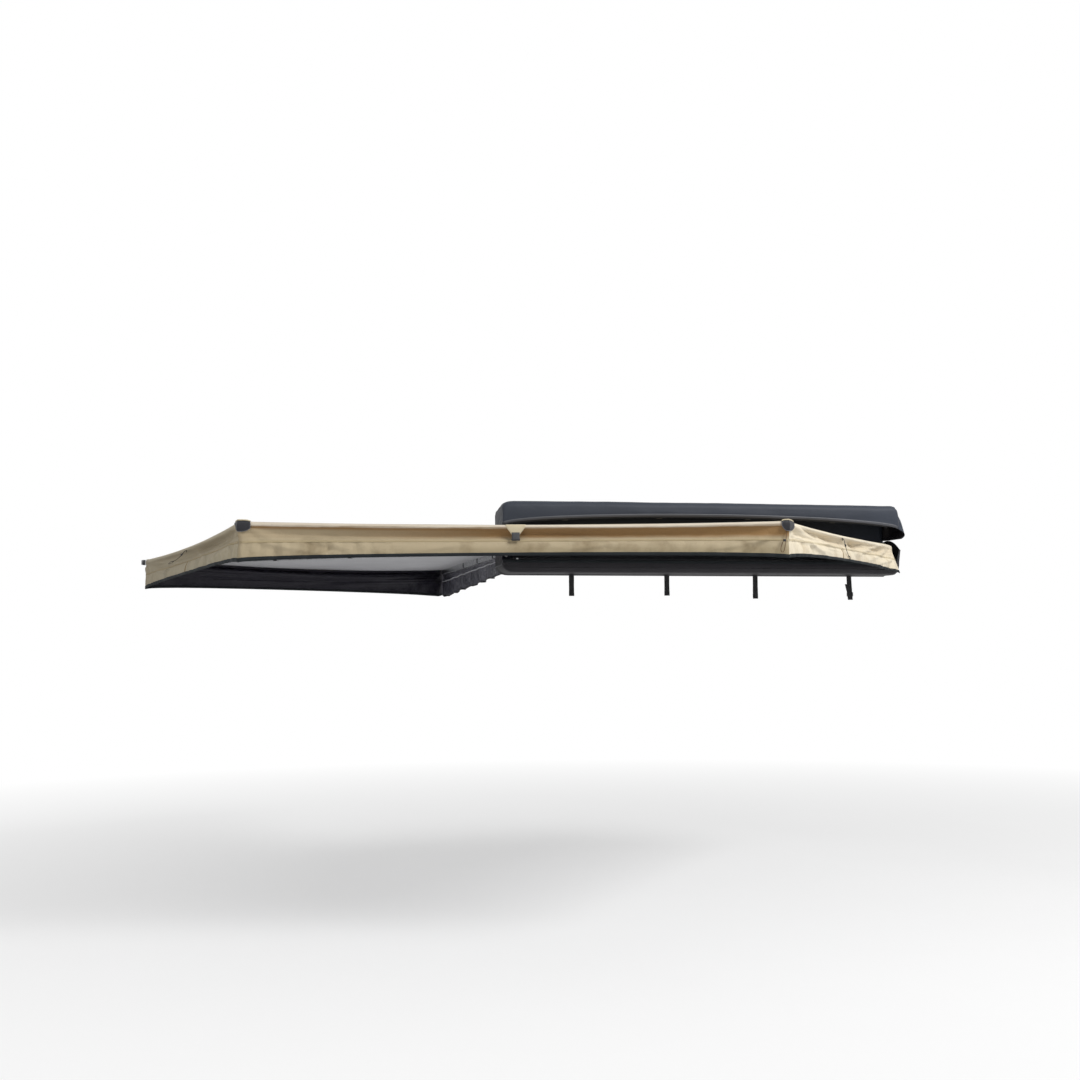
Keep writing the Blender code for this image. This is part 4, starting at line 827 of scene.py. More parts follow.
# Long folds of each skirt: where each starts and ends (share, down), its half width and its height
LONG_FOLDS = {
    1: ((1.00, 0.10, 0.52, 0.62, 0.020, 0.016), (0.98, 0.34, 0.60, 0.80, 0.016, 0.011),
        (0.94, 0.06, 0.56, 0.30, 0.014, -0.012), (0.50, 0.16, 0.36, 0.72, 0.016, 0.015),
        (0.44, 0.10, 0.30, 0.60, 0.014, -0.012), (0.12, 0.08, 0.40, 0.66, 0.018, 0.017),
        (0.04, 0.22, 0.30, 0.84, 0.016, 0.013), (0.24, 0.04, 0.44, 0.40, 0.013, -0.011),
        (0.02, 0.55, 0.20, 0.90, 0.012, 0.010), (0.84, 0.50, 0.66, 0.94, 0.013, 0.012),
        (0.74, 0.14, 0.64, 0.56, 0.012, 0.010)),
    2: ((1.00, 0.135, 0.62, 0.155, 0.0062, -0.0090), (0.64, 0.155, 0.40, 0.120, 0.0060, -0.0070),
        (0.62, 0.165, 0.34, 0.300, 0.0080, -0.0070), (0.00, 0.130, 0.22, 0.150, 0.0062, -0.0075),
        (0.20, 0.150, 0.44, 0.230, 0.0080, -0.0060), (0.97, 0.52, 0.84, 0.92, 0.010, 0.0060),
        (0.90, 0.50, 0.80, 0.88, 0.009, -0.0050), (0.03, 0.48, 0.15, 0.90, 0.010, 0.0060),
        (0.30, 0.60, 0.42, 0.86, 0.011, 0.0045), (0.58, 0.58, 0.70, 0.90, 0.011, 0.0045)),
    3: ((0.00, 0.16, 0.50, 0.26, 0.010, -0.010), (0.02, 0.45, 0.30, 0.86, 0.016, 0.012),
        (0.98, 0.14, 0.60, 0.44, 0.014, 0.012), (0.92, 0.40, 0.66, 0.90, 0.014, 0.011),
        (0.48, 0.20, 0.28, 0.70, 0.014, 0.010)),
    4: ((0.02, 0.12, 0.60, 0.30, 0.012, -0.010), (0.10, 0.60, 0.80, 0.44, 0.012, 0.009),
        (0.98, 0.20, 0.50, 0.66, 0.014, 0.010)),
}


def skirt_section(down, middle):
    """Outward offset of the skirt's face at a share down from its rolled edge to its hem."""
    base = SKIRT_BASE
    knots = [(0.000, base - 0.0010), (0.022, base + 0.0056), (0.060, base + 0.0080 + 0.0030 * middle),
             (0.105, base + 0.0078 + 0.0020 * middle), (0.160, base + 0.0040 - 0.0080 * middle),
             (0.250, base + 0.0020 - 0.0180 * middle), (0.340, base + 0.0016 - 0.0190 * middle),
             (0.440, base + 0.0024 - 0.0110 * middle), (0.560, base + 0.0040 - 0.0020 * middle),
             (0.720, base + 0.0056 + 0.0050 * middle), (0.860, base + 0.0060 + 0.0068 * middle),
             (1.020, base + 0.0050 + 0.0066 * middle)]
    for index in range(len(knots) - 1):
        low, first = knots[index]
        high, second = knots[index + 1]
        if down <= high:
            t = min(max((down - low) / (high - low), 0.0), 1.0)
            before = knots[max(index - 1, 0)]
            after = knots[min(index + 2, len(knots) - 1)]
            span = high - low
            rise = (second - before[1]) / max(high - before[0], 1e-6) * span
            fall = (after[1] - first) / max(after[0] - low, 1e-6) * span
            return ((2 * t ** 3 - 3 * t * t + 1) * first + (t ** 3 - 2 * t * t + t) * rise
                    + (3 * t * t - 2 * t ** 3) * second + (t ** 3 - t * t) * fall)
    return knots[-1][1]


def long_folds(index, share, down, length):
    """The skirt's few long folds: rounded ridges and valleys that fade at both ends."""
    total = 0.0
    for first, high, last, low, half, rise in LONG_FOLDS[index]:
        way_x = (last - first) * length
        way_z = (low - high) * SKIRT_DEPTH
        far_x = (share - first) * length
        far_z = (down - high) * SKIRT_DEPTH
        reach = math.hypot(way_x, way_z)
        along = (far_x * way_x + far_z * way_z) / reach ** 2
        if -0.1 < along < 1.1:
            across = (far_x * way_z - far_z * way_x) / reach
            wide = half * (0.7 + 0.8 * along)
            height = rise * math.exp(-(across / wide) ** 2)
            total += height * ease((along + 0.1) / 0.3) * ease((1.1 - along) / 0.4)
    return total


def skirt_folds(index, place, drop, length):
    """Tension folds, puckers and slack of a skirt, in metres outward."""
    gain = FOLD_GAIN[index - 1]
    free = ease((drop - 0.012) / 0.030) * ease(place / 0.05) * ease((length - place) / 0.05)
    level = bump_at(drop, 0.056, 0.034) * 0.0032 * math.sin(drop * 330.0 + place * 1.9 + index) * (
        0.6 + rumple(place, drop, index, 1.7))
    slack = ease((drop - 0.075) / 0.035) * 0.0060 * rumple(place, drop * 0.45, index + 3, 7.0)
    fine = ease((drop - 0.060) / 0.05) * 0.0022 * rumple(place, drop * 0.8, index + 9, 19.0)
    fans = 0.0
    for near in (place, length - place):
        reach = math.hypot(near, drop)
        angle = math.atan2(drop, near + 0.02)
        fans += 0.0055 * math.sin(angle * 13.0 + index) * math.exp(-((reach - 0.16) / 0.17) ** 2)
    pucker = ease((drop - 0.080) / 0.03) * 0.0030 * math.sin(place * 74.0 + math.sin(place * 5.0) * 2.0) * (
        bump_at(place, 0.30, 0.28) + bump_at(place, length - 0.30, 0.28))
    slant = 0.0035 * math.sin((place * 0.75 + drop * 1.5) * 58.0 + index) * max(
        0.0, rumple(place, drop, index + 5, 2.1)) * ease((drop - 0.03) / 0.03)
    return free * gain * (level + slack + fine + fans * 0.7 + pucker + slant)


def gathers(share, place, drop, down):
    """The near skirt's small gathers: upright near its far corner, slanting at its near one."""
    upright = window(share, 0.70, 0.78, 0.95, 0.99) * window(down, 0.50, 0.62, 0.86, 0.96)
    total = upright * 0.0036 * math.sin(place * 118.0 + 2.2 * math.sin(place * 17.0))
    slanting = window(share, 0.015, 0.05, 0.13, 0.22) * window(down, 0.30, 0.50, 0.88, 0.99)
    return total + slanting * 0.0044 * math.sin(drop * 92.0 - place * 46.0 + 1.3 * math.sin(place * 21.0))


def skirt_drop(index, share, down):
    """How far a skirt's point hangs below its rolled edge."""
    deep = mix(EDGE_DEPTHS[index - 1], EDGE_DEPTHS[index], share)
    drop = down * (deep - HEM_LIFTS[index - 1] * bow(share) ** 0.7)
    if index == 4:
        drop -= LAST_HEM_RISE * ease((share - 0.965) / 0.035) ** 2 * down
    return drop


def skirt_point(index, share, down, lift=0.0):
    """Point on a skirt's face: share along its panel, down from 0 to 1 at the hem."""
    length = (side_line(index, CORNER_RADIUS) - side_line(index - 1, CORNER_RADIUS)).length
    drop = skirt_drop(index, share, down)
    room = STUB_ROOM * (1.0 - ease((drop - STUB_DROP) / STUB_CLOSE)) / length
    start = room if index == 4 else 0.0
    end = 1.0 - (room if index == 3 else 0.0)
    share = mix(start, end, share)
    top, rest = roof_place(index, CORNER_RADIUS, share)
    along, outward = edge_ways(index)
    if index == 4:
        top += along * (LAST_SKIRT_REACH * ease((share - 0.93) / 0.07) * ease(down / 0.3))
    place = share * length
    near = 0.0
    if index > 1:
        near = 1.0 - ease(place / CORNER_ZONE)
        outward = outward.lerp(mitre(index - 1), near)
    if index < 4:
        close = 1.0 - ease((length - place) / CORNER_ZONE)
        outward = outward.lerp(mitre(index), close)
        near = max(near, close)
    offset = skirt_section(down, min(1.0, bow(share) * 1.8))
    swell = near * ease(drop / 0.005) * (1.0 - ease((drop - 0.06) / 0.04))
    offset = mix(offset, CORNER_SWELL, swell)
    folds = skirt_folds(index, place, drop, length)
    folds += long_folds(index, share, down, length) * ease(drop / 0.02)
    if index == 2:
        folds += gathers(share, place, drop, down)
    point = top + outward * (offset + folds * (1.0 - near) + lift) - UP * drop
    if index == 1:
        point.x += FRONT_END_LEAN * (1.0 - ease(share / 0.08)) * down
    return point, rest


def skirt_strip(index, name, places, materials, thick, first=0.0, last=1.0, lining=False):
    """A strip of cloth along a skirt through (down, lift) places."""
    rows = []
    for down, lift in places:
        row = []
        for step in range(SKIRT_STEPS + 1):
            point, rest = skirt_point(index, mix(first, last, step / SKIRT_STEPS), down, lift)
            row.append(point)
        rows.append(row)
    piece = surface(name, rows, materials)
    thicken(piece, thick, lining=lining)
    return hang(piece), rows


def sewn_row(index, name, down, lift, material):
    """One row of stitches along a skirt."""
    shares = [mix(0.004, 0.996, i / STITCH_STEPS) for i in range(STITCH_STEPS + 1)]
    places = [skirt_point(index, share, down, lift) for share in shares]
    points = [place[0] for place in places]
    outs = [edge_ways(index)[1]] * len(points)
    piece, seats = stitches(name, points, ways_along(points), outs, material)
    hang(piece)
    return piece


# Strips across a skirt as (down, lift) places: its flat seam and its bound hem
HEM_START = 0.905
SEAM_DOWN = 0.090 / SKIRT_DEPTH
SEAM_SECTION = ((SEAM_DOWN - 0.030, 0.0010), (SEAM_DOWN - 0.024, 0.0019),
                (SEAM_DOWN + 0.024, 0.0019), (SEAM_DOWN + 0.030, 0.0010))
HEM_SECTION = ((HEM_START, 0.0010), (HEM_START + 0.006, 0.0019), (0.950, 0.0023), (0.992, 0.0021),
               (1.004, 0.0), (0.992, -0.0021), (0.930, -0.0019), (HEM_START + 0.004, -0.0011))
# Each cord hangs on an upright seam, at this share along its skirt
CORD_SEAM_SHARE = {1: 0.515, 3: 0.53}
CORD_SIDE_WAY = {1: -2.0, 3: 1.0}
# How far a cord stands out from its skirt, and the share of its drop that is left
CORD_STAND = {1: 0.0, 3: 0.9}
CORD_FALL = {1: 1.0, 3: 0.65}
CORD_SEAM_DROP = 0.018
CORD_SEAM_STEPS = 16
# Section of that upright seam as (share along the skirt, lift)
CORD_SEAM_SECTION = ((-0.0030, 0.0008), (-0.0020, 0.0017), (0.0020, 0.0017), (0.0030, 0.0008))
CORNER_CORD_SHIFT = 0.012


def cord_seam(index):
    """Brown upright seam on a skirt, below its cord."""
    rows = []
    for step in range(CORD_SEAM_STEPS + 1):
        down = mix(SEAM_DOWN + 0.03, HEM_START, step / CORD_SEAM_STEPS)
        row = []
        for side, lift in CORD_SEAM_SECTION:
            point, rest = skirt_point(index, CORD_SEAM_SHARE[index] + side, down, lift)
            row.append(point)
        rows.append(row)
    upright = thicken(surface(f"skirt_{index}_post_seam", rows, [SEAM_BROWN]), TAPE_WALL)
    return hang(upright)


def dress_skirt(index):
    """A skirt with its seam, its cord seam, its bound hem and its stitches."""
    # The first skirt takes the brighter, painted-lit copy of the canvas
    face = (PAINTED_LIT_SKIRT, NEAR_SKIRT, REAR_SKIRT, REAR_SKIRT)[index - 1]
    # The first skirt's seam is the lighter, painted-lit canvas
    trim = PAINTED_LIT_CANVAS if index == 1 else TAN_CANVAS
    name = f"skirt_{index}"
    places = [(ring / SKIRT_RINGS, 0.0) for ring in range(SKIRT_RINGS + 1)]
    piece, rows = skirt_strip(index, f"{name}_cloth", places, [face, DARK_INSIDE], SKIRT_WALL, lining=True)
    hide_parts(name)
    seam = skirt_strip(index, f"{name}_seam", SEAM_SECTION, [trim], TAPE_WALL, 0.002, 0.998)[0]
    hem = skirt_strip(index, f"{name}_hem", HEM_SECTION, [HEM_TAPE], HEM_WALL)[0]
    for row, down in enumerate((SEAM_DOWN - 0.018, SEAM_DOWN + 0.018), 1):
        sewn_row(index, f"{name}_stitch_{row}", down, 0.0026, THREAD)
    if index in CORD_SEAM_SHARE:
        cord_seam(index)


# Roof panels with their seams, reinforcements and loops

ROOF_COLUMNS = 40
ROOF_ROWS = 34
# Section of the tape over a roof seam and of a webbing loop round a tube, as (across, up)
TAPE_SECTION = ((-0.017, -0.0006), (-0.015, 0.0002), (0.0, 0.0008), (0.015, 0.0002), (0.017, -0.0006))
LOOP_SECTION = ((-0.0128, 0.0008), (-0.0132, -0.006), (-0.0132, -0.0240), (-0.0128, -0.0306), (0.0, -0.0308),
                (0.0128, -0.0306), (0.0132, -0.0240), (0.0132, -0.006), (0.0128, 0.0008))
LOOP_RADII = (0.50, 1.00, 1.50)
LOOP_HALF = 0.012
ROOF_SEAM_STEPS = 60


def roof_grid(index, first, last, rings, columns, lift=0.0):
    """Rows of points and weights over a part of a roof panel."""
    rows = []
    weights = []
    for ring in range(rings + 1):
        radius = mix(first, last, ring / rings)
        row = []
        for share in roof_shares(index, radius, columns):
            point, rest = roof_place(index, radius, share)
            row.append(point + UP * (tension_ripple(index, radius, rest) + lift))
            weights.append(rest)
        rows.append(row)
    return rows, weights


def dress_roof(index):
    """One roof panel: tan above and grey below, with its hub reinforcement."""
    rows, weights = roof_grid(index, ROOF_START, CORNER_RADIUS, ROOF_ROWS, ROOF_COLUMNS)
    piece = surface(f"roof_panel_{index}_cloth", rows, [TAN_CANVAS, GREY_UNDERSIDE])
    hang(thicken(piece, ROOF_WALL, lining=True))
    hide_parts(f"roof_panel_{index}")
    patch_rows, patch_weights = roof_grid(index, ROOF_START - 0.004, 0.330, 5, 10, 0.0022)
    patch = thicken(surface(f"hub_patch_{index}", patch_rows, [BAG_OUTER]), PATCH_WALL)
    hang(patch)


def arm_seam(index):
    """Tape sewn over the roof's seam along an arm, with its two stitch rows."""
    rows = []
    left = arm_left(index)
    for step in range(ROOF_SEAM_STEPS + 1):
        radius = mix(ROOF_START, CORNER_RADIUS - 0.004, step / ROOF_SEAM_STEPS)
        middle = side_line(index, radius) + UP * 0.0020
        rows.append([middle + left * side + UP * rise for side, rise in TAPE_SECTION])
    tape = thicken(surface(f"roof_seam_{index}", rows, [TAN_CANVAS]), HEM_WALL)
    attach(tape, BODIES[index])
    way = (rows[-1][2] - rows[0][2]).normalized()
    for label, side in (("right", -0.012), ("left", 0.012)):
        points = [row[2] + left * side + UP * 0.0002 for row in rows]
        piece = stitches(f"roof_seam_{index}_stitch_{label}", points, [way] * len(points),
                         [UP] * len(points), THREAD, pitch=0.008, size=0.0055)[0]
        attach(piece, BODIES[index])


def arm_loops(index):
    """Webbing loops that tie the roof down to an arm's tube."""
    left = arm_left(index)
    for number, radius in enumerate(LOOP_RADII, 1):
        tops = [arm_top(index, radius + side) for side in (-LOOP_HALF, 0.0, LOOP_HALF)]
        rows = [[top + left * x + UP * z for x, z in LOOP_SECTION] for top in tops]
        piece = thicken(surface(f"arm_{index}_loop_{number}", rows, [WEBBING]), TAPE_WALL, 1.0)
        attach(piece, BODIES[index])


ARM_3_END = CORNER_RADIUS + 0.024
SLEEVE_START = 0.004
SLEEVE_WALL = 0.0012


def arm_sleeve():
    """Black plastic sleeve on the end of the third arm, outside the cloth."""
    start = CORNER_RADIUS + SLEEVE_START
    low = arm_top(3, start)
    high = arm_top(3, ARM_3_END)
    way = (high - low).normalized()
    left = arm_left(3)
    up = way.cross(left)
    middle = (low + high) / 2 - up * (TUBE_HEIGHT / 2)
    size = ((high - low).length, TUBE_WIDTH + 2 * SLEEVE_WALL, TUBE_HEIGHT + 2 * SLEEVE_WALL)
    sleeve = block("arm_3_sleeve", size, middle, (way, left, up), BLACK_NYLON, SLEEVE_WALL)
    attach(sleeve, "arm_3")


# Corner caps

CAP_DROP = 0.044
CAP_WALL = 0.0020
CAP_COLUMNS = 30
CAP_BULGE = 0.001
# How far each cap reaches along the panel before and after its corner
CAP_REACHES = ((0.075, 0.028), (0.050, 0.050))
# Lower edge of each cap: where it hangs lowest, its depth there, how much it rises and how suddenly
CAP_EDGES = ((0.0, 1.0, 0.52, 2.6), (-0.30, 1.04, 0.78, 2.2))


def cap_rows(index):
    """Rows of points over a cap: from its flap on the roof over the edge and down the skirts."""
    corner = side_line(index, CORNER_RADIUS)
    before, first_out = edge_ways(index)
    after, second_out = edge_ways(index + 1)
    turn = mitre(index)
    face = SKIRT_FACE + 2 * GAP + 0.0016
    lowest, deepest, rise, power = CAP_EDGES[index - 1]
    rows = []
    for column in range(CAP_COLUMNS + 1):
        a = mix(-1.0, 1.0, column / CAP_COLUMNS)
        way, out = (-before, first_out) if a < 0 else (after, second_out)
        out = out.lerp(turn, 1.0 - ease(abs(a) / 0.42))
        foot = corner + way * (abs(a) * CAP_REACHES[index - 1][0 if a < 0 else 1])
        round_in = 1.0 - 0.45 * abs(a) ** 3
        shape = deepest - rise * min(1.0, abs(a - lowest)) ** power
        low = CAP_DROP * shape + CAP_BULGE * math.sin(a * 5.0 + 1.0)
        puff = 0.0014 * bow(column / CAP_COLUMNS)
        high = 0.0052 - 0.004 * abs(a) ** 5
        section = ((-0.034 * round_in, 0.0042), (-0.020 * round_in, 0.0050), (-0.004, high + puff),
                   (face * 0.55, high - 0.001 + puff), (face + puff * 0.6, -0.0030),
                   (face + puff, -low * 0.30), (face + puff, -low * 0.60),
                   (face + puff * 0.5, -low * 0.90), (face, -low))
        rows.append([foot + out * across + UP * up for across, up in section])
    return rows


def corner_cap(index):
    """Sewn black cap that folds over a near corner, under the edge's tan roll."""
    name = f"corner_cap_{index}"
    rows = cap_rows(index)
    piece = thicken(surface(f"{name}_cloth", rows, [BLACK_NYLON_CLOTH]), CAP_WALL)
    round_off = piece.modifiers.new("rounding", "SUBSURF")
    round_off.levels = 1
    round_off.render_levels = 1
    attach(piece, BODIES[index])
    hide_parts(name)
    rim_path = [rows[0][4], rows[0][6]] + [row[-1] for row in rows] + [rows[-1][6], rows[-1][4]]
    rim = tube(f"{name}_rim", rim_path, 0.0017, CAP_RIM, 8)
    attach(rim, BODIES[index])
    outs = [edge_ways(index + 1 if i > CAP_COLUMNS // 2 else index)[1] for i in range(CAP_COLUMNS + 1)]
    points = [row[-2] + out * 0.0016 + UP * 0.002 for row, out in zip(rows, outs)]
    sewn = stitches(f"{name}_stitch", points, ways_along(points), outs, WEBBING, 0.005, 0.0035)[0]
    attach(sewn, BODIES[index])
    # The cap's roll is the painted-lit canvas: a painted highlight along the rolled edge
    roll_path = [row[3] + UP * 0.0020 + mitre(index) * 0.0006 for row in rows]
    roll = tube(f"{name}_roll", roll_path, 0.0030, PAINTED_LIT_CANVAS, 10)
    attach(roll, BODIES[index])


# Tie-out, guy cords and the corner's guy line

TAB_SHARE = 0.5
# The tab as (drop, half its width, lift), its webbing as (drop, lift), its stitches as (drop, side)
TAB_SECTION = ((-0.0015, 0.046, -0.010), (0.002, 0.046, -0.0025), (0.008, 0.045, 0.0),
               (0.020, 0.038, 0.0006), (0.034, 0.027, 0.0004), (0.046, 0.0195, 0.0))
TAB_WEBBING = ((0.036, 0.0018), (0.044, 0.0024), (0.056, 0.0030), (0.066, 0.0032), (0.0725, 0.0028),
               (0.0740, 0.0014), (0.0720, 0.0002), (0.060, -0.0002))
TAB_WEBBING_HALF = 0.0185
TAB_STITCHES = ((0.004, 0.0395), (0.012, 0.0365), (0.020, 0.0315), (0.034, 0.0228), (0.044, 0.0185))
TAB_BUCKLE = (0.040, 0.0040, 0.0095)
TAB_BUCKLE_DROP = 0.0700


def tie_out():
    """Tan tie-out tab with grey webbing and a small buckle, on the near skirt."""
    index = 2
    top, rest = roof_place(index, CORNER_RADIUS, TAB_SHARE)
    along, outward = edge_ways(index)
    away = SKIRT_FACE + 2 * GAP + 0.001
    rows = []
    for drop, wide, lift in TAB_SECTION:
        middle = top + outward * (away + lift) - UP * drop
        rows.append([middle + along * (wide * side) - outward * (0.0006 * side * side)
                     for side in (-1.0, -0.92, -0.5, 0.0, 0.5, 0.92, 1.0)])
    # The tab is the lighter, painted-lit canvas
    tab = thicken(surface("tie_out_tab_cloth", rows, [PAINTED_LIT_CANVAS]), ROOF_WALL)
    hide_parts("tie_out_tab")
    strap_rows = []
    for drop, lift in TAB_WEBBING:
        middle = top + outward * (away + lift) - UP * drop
        strap_rows.append([middle + along * (TAB_WEBBING_HALF * side) for side in FIVE_ACROSS])
    webbing = thicken(surface("tie_out_webbing", strap_rows, [GREY_WEBBING]), WEBBING_WALL)
    centre = top + outward * (away + 0.0042) - UP * TAB_BUCKLE_DROP
    bar = block("tie_out_buckle_bar", TAB_BUCKLE, centre, (along, outward, UP), BLACK_NYLON, 0.0012)
    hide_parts("tie_out_buckle")
    parts = [tab, webbing, bar]
    for label, side in (("left", -1.0), ("right", 1.0)):
        points = [top + outward * (away + 0.0013) + along * (side * wide) - UP * drop
                  for drop, wide in TAB_STITCHES]
        ways = [(points[-1] - points[0]).normalized()] * len(points)
        sewn = stitches(f"tie_out_stitch_{label}", points, ways, [outward] * len(points), THREAD,
                        0.005, 0.0035)[0]
        parts.append(sewn)
    hang_whole(parts)


CORD_RADIUS = 0.0015
ROUTE_STEPS = 6
LOOP_STEPS = 26
TOGGLE_PLACE = 27
TOGGLE_ENDS = (-0.0085, -0.0078, -0.004, 0.004, 0.0078, 0.0085)
KNOT_ENDS = (-0.003, -0.0022, 0.0022, 0.003)
# A cord's own points as (along its skirt, out from it, drop)
SKIRT_CORD = ((0.000, 0.0004, 0.018), (0.000, 0.0040, 0.0185), (0.002, 0.0070, 0.023),
              (0.006, 0.0085, 0.034), (0.012, 0.0085, 0.046), (0.018, 0.0085, 0.058),
              (0.025, 0.0085, 0.070), (0.033, 0.0085, 0.082), (0.041, 0.0085, 0.092),
              (0.050, 0.0085, 0.101), (0.060, 0.0085, 0.109))
CORNER_CORD = ((0.020, 0.0010, 0.0450), (0.020, 0.0030, 0.0520), (0.021, 0.0045, 0.0620),
               (0.022, 0.0052, 0.0760), (0.024, 0.0055, 0.0940), (0.027, 0.0058, 0.1120),
               (0.030, 0.0060, 0.1280), (0.034, 0.0062, 0.1400), (0.040, 0.0064, 0.1450),
               (0.046, 0.0064, 0.1410), (0.048, 0.0064, 0.1300), (0.045, 0.0064, 0.1160),
               (0.040, 0.0064, 0.1020), (0.034, 0.0064, 0.0890))


def smooth_route(points):
    """Read points from a smooth curve through the cord's own points."""
    points = [Vector(p) for p in points]
    line = [points[0] * 2 - points[1]] + points + [points[-1] * 2 - points[-2]]
    route = []
    for i in range(1, len(line) - 2):
        route += [curve(*line[i - 1:i + 3], step / ROUTE_STEPS) for step in range(ROUTE_STEPS)]
    route.append(points[-1])
    return route


def bead(name, middle, way, places, radius, material, sides):
    """A short round piece threaded on a cord, through places along its way."""
    return tube(name, [middle + way * place for place in places], radius, material, sides)


def end_loop(name, end, tail, outward):
    """The open loop at a cord's end."""
    wing = tail.cross(outward)
    loop = []
    for step in range(LOOP_STEPS):
        angle = math.tau * step / LOOP_STEPS
        loop.append(end + tail * (0.016 * (1.0 - math.cos(angle)) + 0.0012)
                    + wing * (0.0070 * math.sin(angle)) + outward * (0.0012 * math.sin(angle * 2)))
    return tube(name, loop, 0.0013, CORD_BLACK, 8, closed=True)


def skirt_cord(name, index):
    """Guy cord on a skirt, with its toggle, its knot and its end loop."""
    top, rest = roof_place(index, CORNER_RADIUS, CORD_SEAM_SHARE[index])
    along, outward = edge_ways(index)
    route = []
    for side, out, drop in SKIRT_CORD:
        down = mix(CORD_SEAM_DROP, drop, CORD_FALL[index])
        place = top + along * side * CORD_SIDE_WAY[index]
        route.append(place + outward * (SKIRT_FACE + out + side * CORD_STAND[index]) - UP * down)
    route = smooth_route(route)
    line = tube(f"{name}_line", route, CORD_RADIUS, CORD_BLACK)
    hold = route[TOGGLE_PLACE]
    way = (route[TOGGLE_PLACE + 3] - route[TOGGLE_PLACE - 3]).normalized()
    side = way.cross(outward)
    toggle = bead(f"{name}_toggle", hold, way, TOGGLE_ENDS, 0.0036, BLACK_NYLON, 14)
    knob = block(f"{name}_button", (0.0070, 0.0040, 0.0060), hold + outward * 0.0044 + side * 0.0012,
                 (side, outward, way), BLACK_NYLON, 0.0012)
    tail = (route[-1] - route[-4]).normalized()
    ring = end_loop(f"{name}_loop", route[-1], tail, outward)
    knot = bead(f"{name}_knot", route[-1], tail, KNOT_ENDS, 0.0030, CORD_BLACK, 10)
    patch_rows = []
    for drop in (0.010, 0.016, 0.022, 0.028):
        middle = top + outward * (SKIRT_FACE + 0.0006) - UP * drop
        patch_rows.append([middle + along * x for x in (-0.009, -0.003, 0.003, 0.009)])
    patch = thicken(surface(f"{name}_patch", patch_rows, [WEBBING]), HEM_WALL)
    others = [toggle, knob, ring, knot]
    hang_whole([line, patch] + others)
    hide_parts(name)


def corner_cord():
    """Tan guy line from the first corner cap, doubled back to its slider, with a knot."""
    name = "tie_cord_corner"
    corner = side_line(1, CORNER_RADIUS)
    along, outward = edge_ways(2)
    route = smooth_route([corner + along * (side - CORNER_CORD_SHIFT) + outward * (SKIRT_FACE + out)
                          - UP * drop for side, out, drop in CORNER_CORD])
    line = tube(f"{name}_line", route, CORD_RADIUS, CORD_TAN)
    middle = corner + along * (0.030 - CORNER_CORD_SHIFT) + outward * (SKIRT_FACE + 0.0070) - UP * 0.090
    slide = block(f"{name}_slide", (0.013, 0.0052, 0.011), middle, (along, outward, UP), BLACK_NYLON,
                  0.0016)
    knot = bead(f"{name}_knot", route[-1], UP, (-0.005, -0.003, 0.002, 0.005), 0.0032, CORD_TAN, 10)
    head_path = [route[0] + UP * 0.006 - outward * 0.001, route[0], route[0] - UP * 0.005]
    head = tube(f"{name}_head", head_path, 0.0024, CORD_TAN, 10)
    others = [slide, knot, head]
    for piece in [line] + others:
        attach(piece, "arm_1")
    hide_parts(name)


# The gathered flap under the last arm

FLAP_COLUMNS = 190
FLAP_ROWS = 16
FLAP_START = 0.150
FLAP_HUB_DEPTH = 0.110
FLAP_END_DEPTH = 0.176
FLAP_END_INSET = 0.012
FLAP_RIPPLE = 0.006
FLAP_SCALLOP = 0.005
# Where the piping lies on the flap, as shares of its depth at the hub and at the end
FLAP_PIPING = (0.21, 0.33)
# Radius along the last arm of the flap's anchor, a place under the arm
FLAP_ANCHOR_RADIUS = 1.6


def flap_rows():
    """Rows of points over the flap, from the arm's underside down to its hem."""
    left = arm_left(4)
    rows = []
    for part_step in range(FLAP_ROWS + 1):
        part = part_step / FLAP_ROWS
        row = []
        for step in range(FLAP_COLUMNS + 1):
            share = step / FLAP_COLUMNS
            radius = mix(FLAP_START, CORNER_RADIUS - FLAP_END_INSET, share)
            top = arm_top(4, radius)
            top.z -= TUBE_HEIGHT + 2 * GAP
            deep = mix(FLAP_HUB_DEPTH, FLAP_END_DEPTH, share)
            ripple = FLAP_RIPPLE * (math.sin(share * 58.0) + 0.6 * math.sin(share * 97.0 + 1.0))
            scallop = FLAP_SCALLOP * math.sin(share * 44.0 + 0.7)
            corner = 0.020 * ease((share - 0.965) / 0.035)
            crinkle = 0.0050 * rumple(radius, part * 0.16, 31, 30.0)
            crinkle += 0.0034 * rumple(radius, part * 0.2, 33, 64.0)
            gather = 0.0036 * math.sin(share * 230.0 + 2.6 * math.sin(share * 31.0))
            gather = gather * (1.0 - part) * ease(part * 6.0)
            side = ripple * ease(part * 1.6) + (crinkle + gather) * ease(part * 5.0)
            row.append(top + left * side - UP * ((deep + scallop - corner) * part))
        rows.append(row)
    return rows


def end_flap():
    """Crinkled glossy flap under the last arm, gathered on a pale piping."""
    left = arm_left(4)
    rows = flap_rows()
    piece = thicken(surface("end_flap_cloth", rows, [FLAP_PVC_PAINTED_SHEEN]), FLAP_WALL)
    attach(piece, "arm_4")
    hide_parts("end_flap")
    top_line = []
    for step in range(0, FLAP_COLUMNS + 1, 2):
        place = mix(*FLAP_PIPING, step / FLAP_COLUMNS) * FLAP_ROWS
        row = int(place)
        top_line.append(rows[row][step].lerp(rows[row + 1][step], place - row) + left * 0.0040)
    pipe = tube("end_flap_piping", top_line, 0.0042, PIPING, 8)
    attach(pipe, "arm_4")
    hem_rows = [[p + left * off for p in rows[row]] for row, off in ((-2, 0.0012), (-1, 0.0014))]
    hem = thicken(surface("end_flap_hem", hem_rows, [BAG_INNER]), TAPE_WALL)
    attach(hem, "arm_4")
    anchor = arm_top(4, FLAP_ANCHOR_RADIUS) - UP * (TUBE_HEIGHT + 2 * GAP)
    for made in (piece, pipe, hem):
        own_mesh(made)


# Storage bag

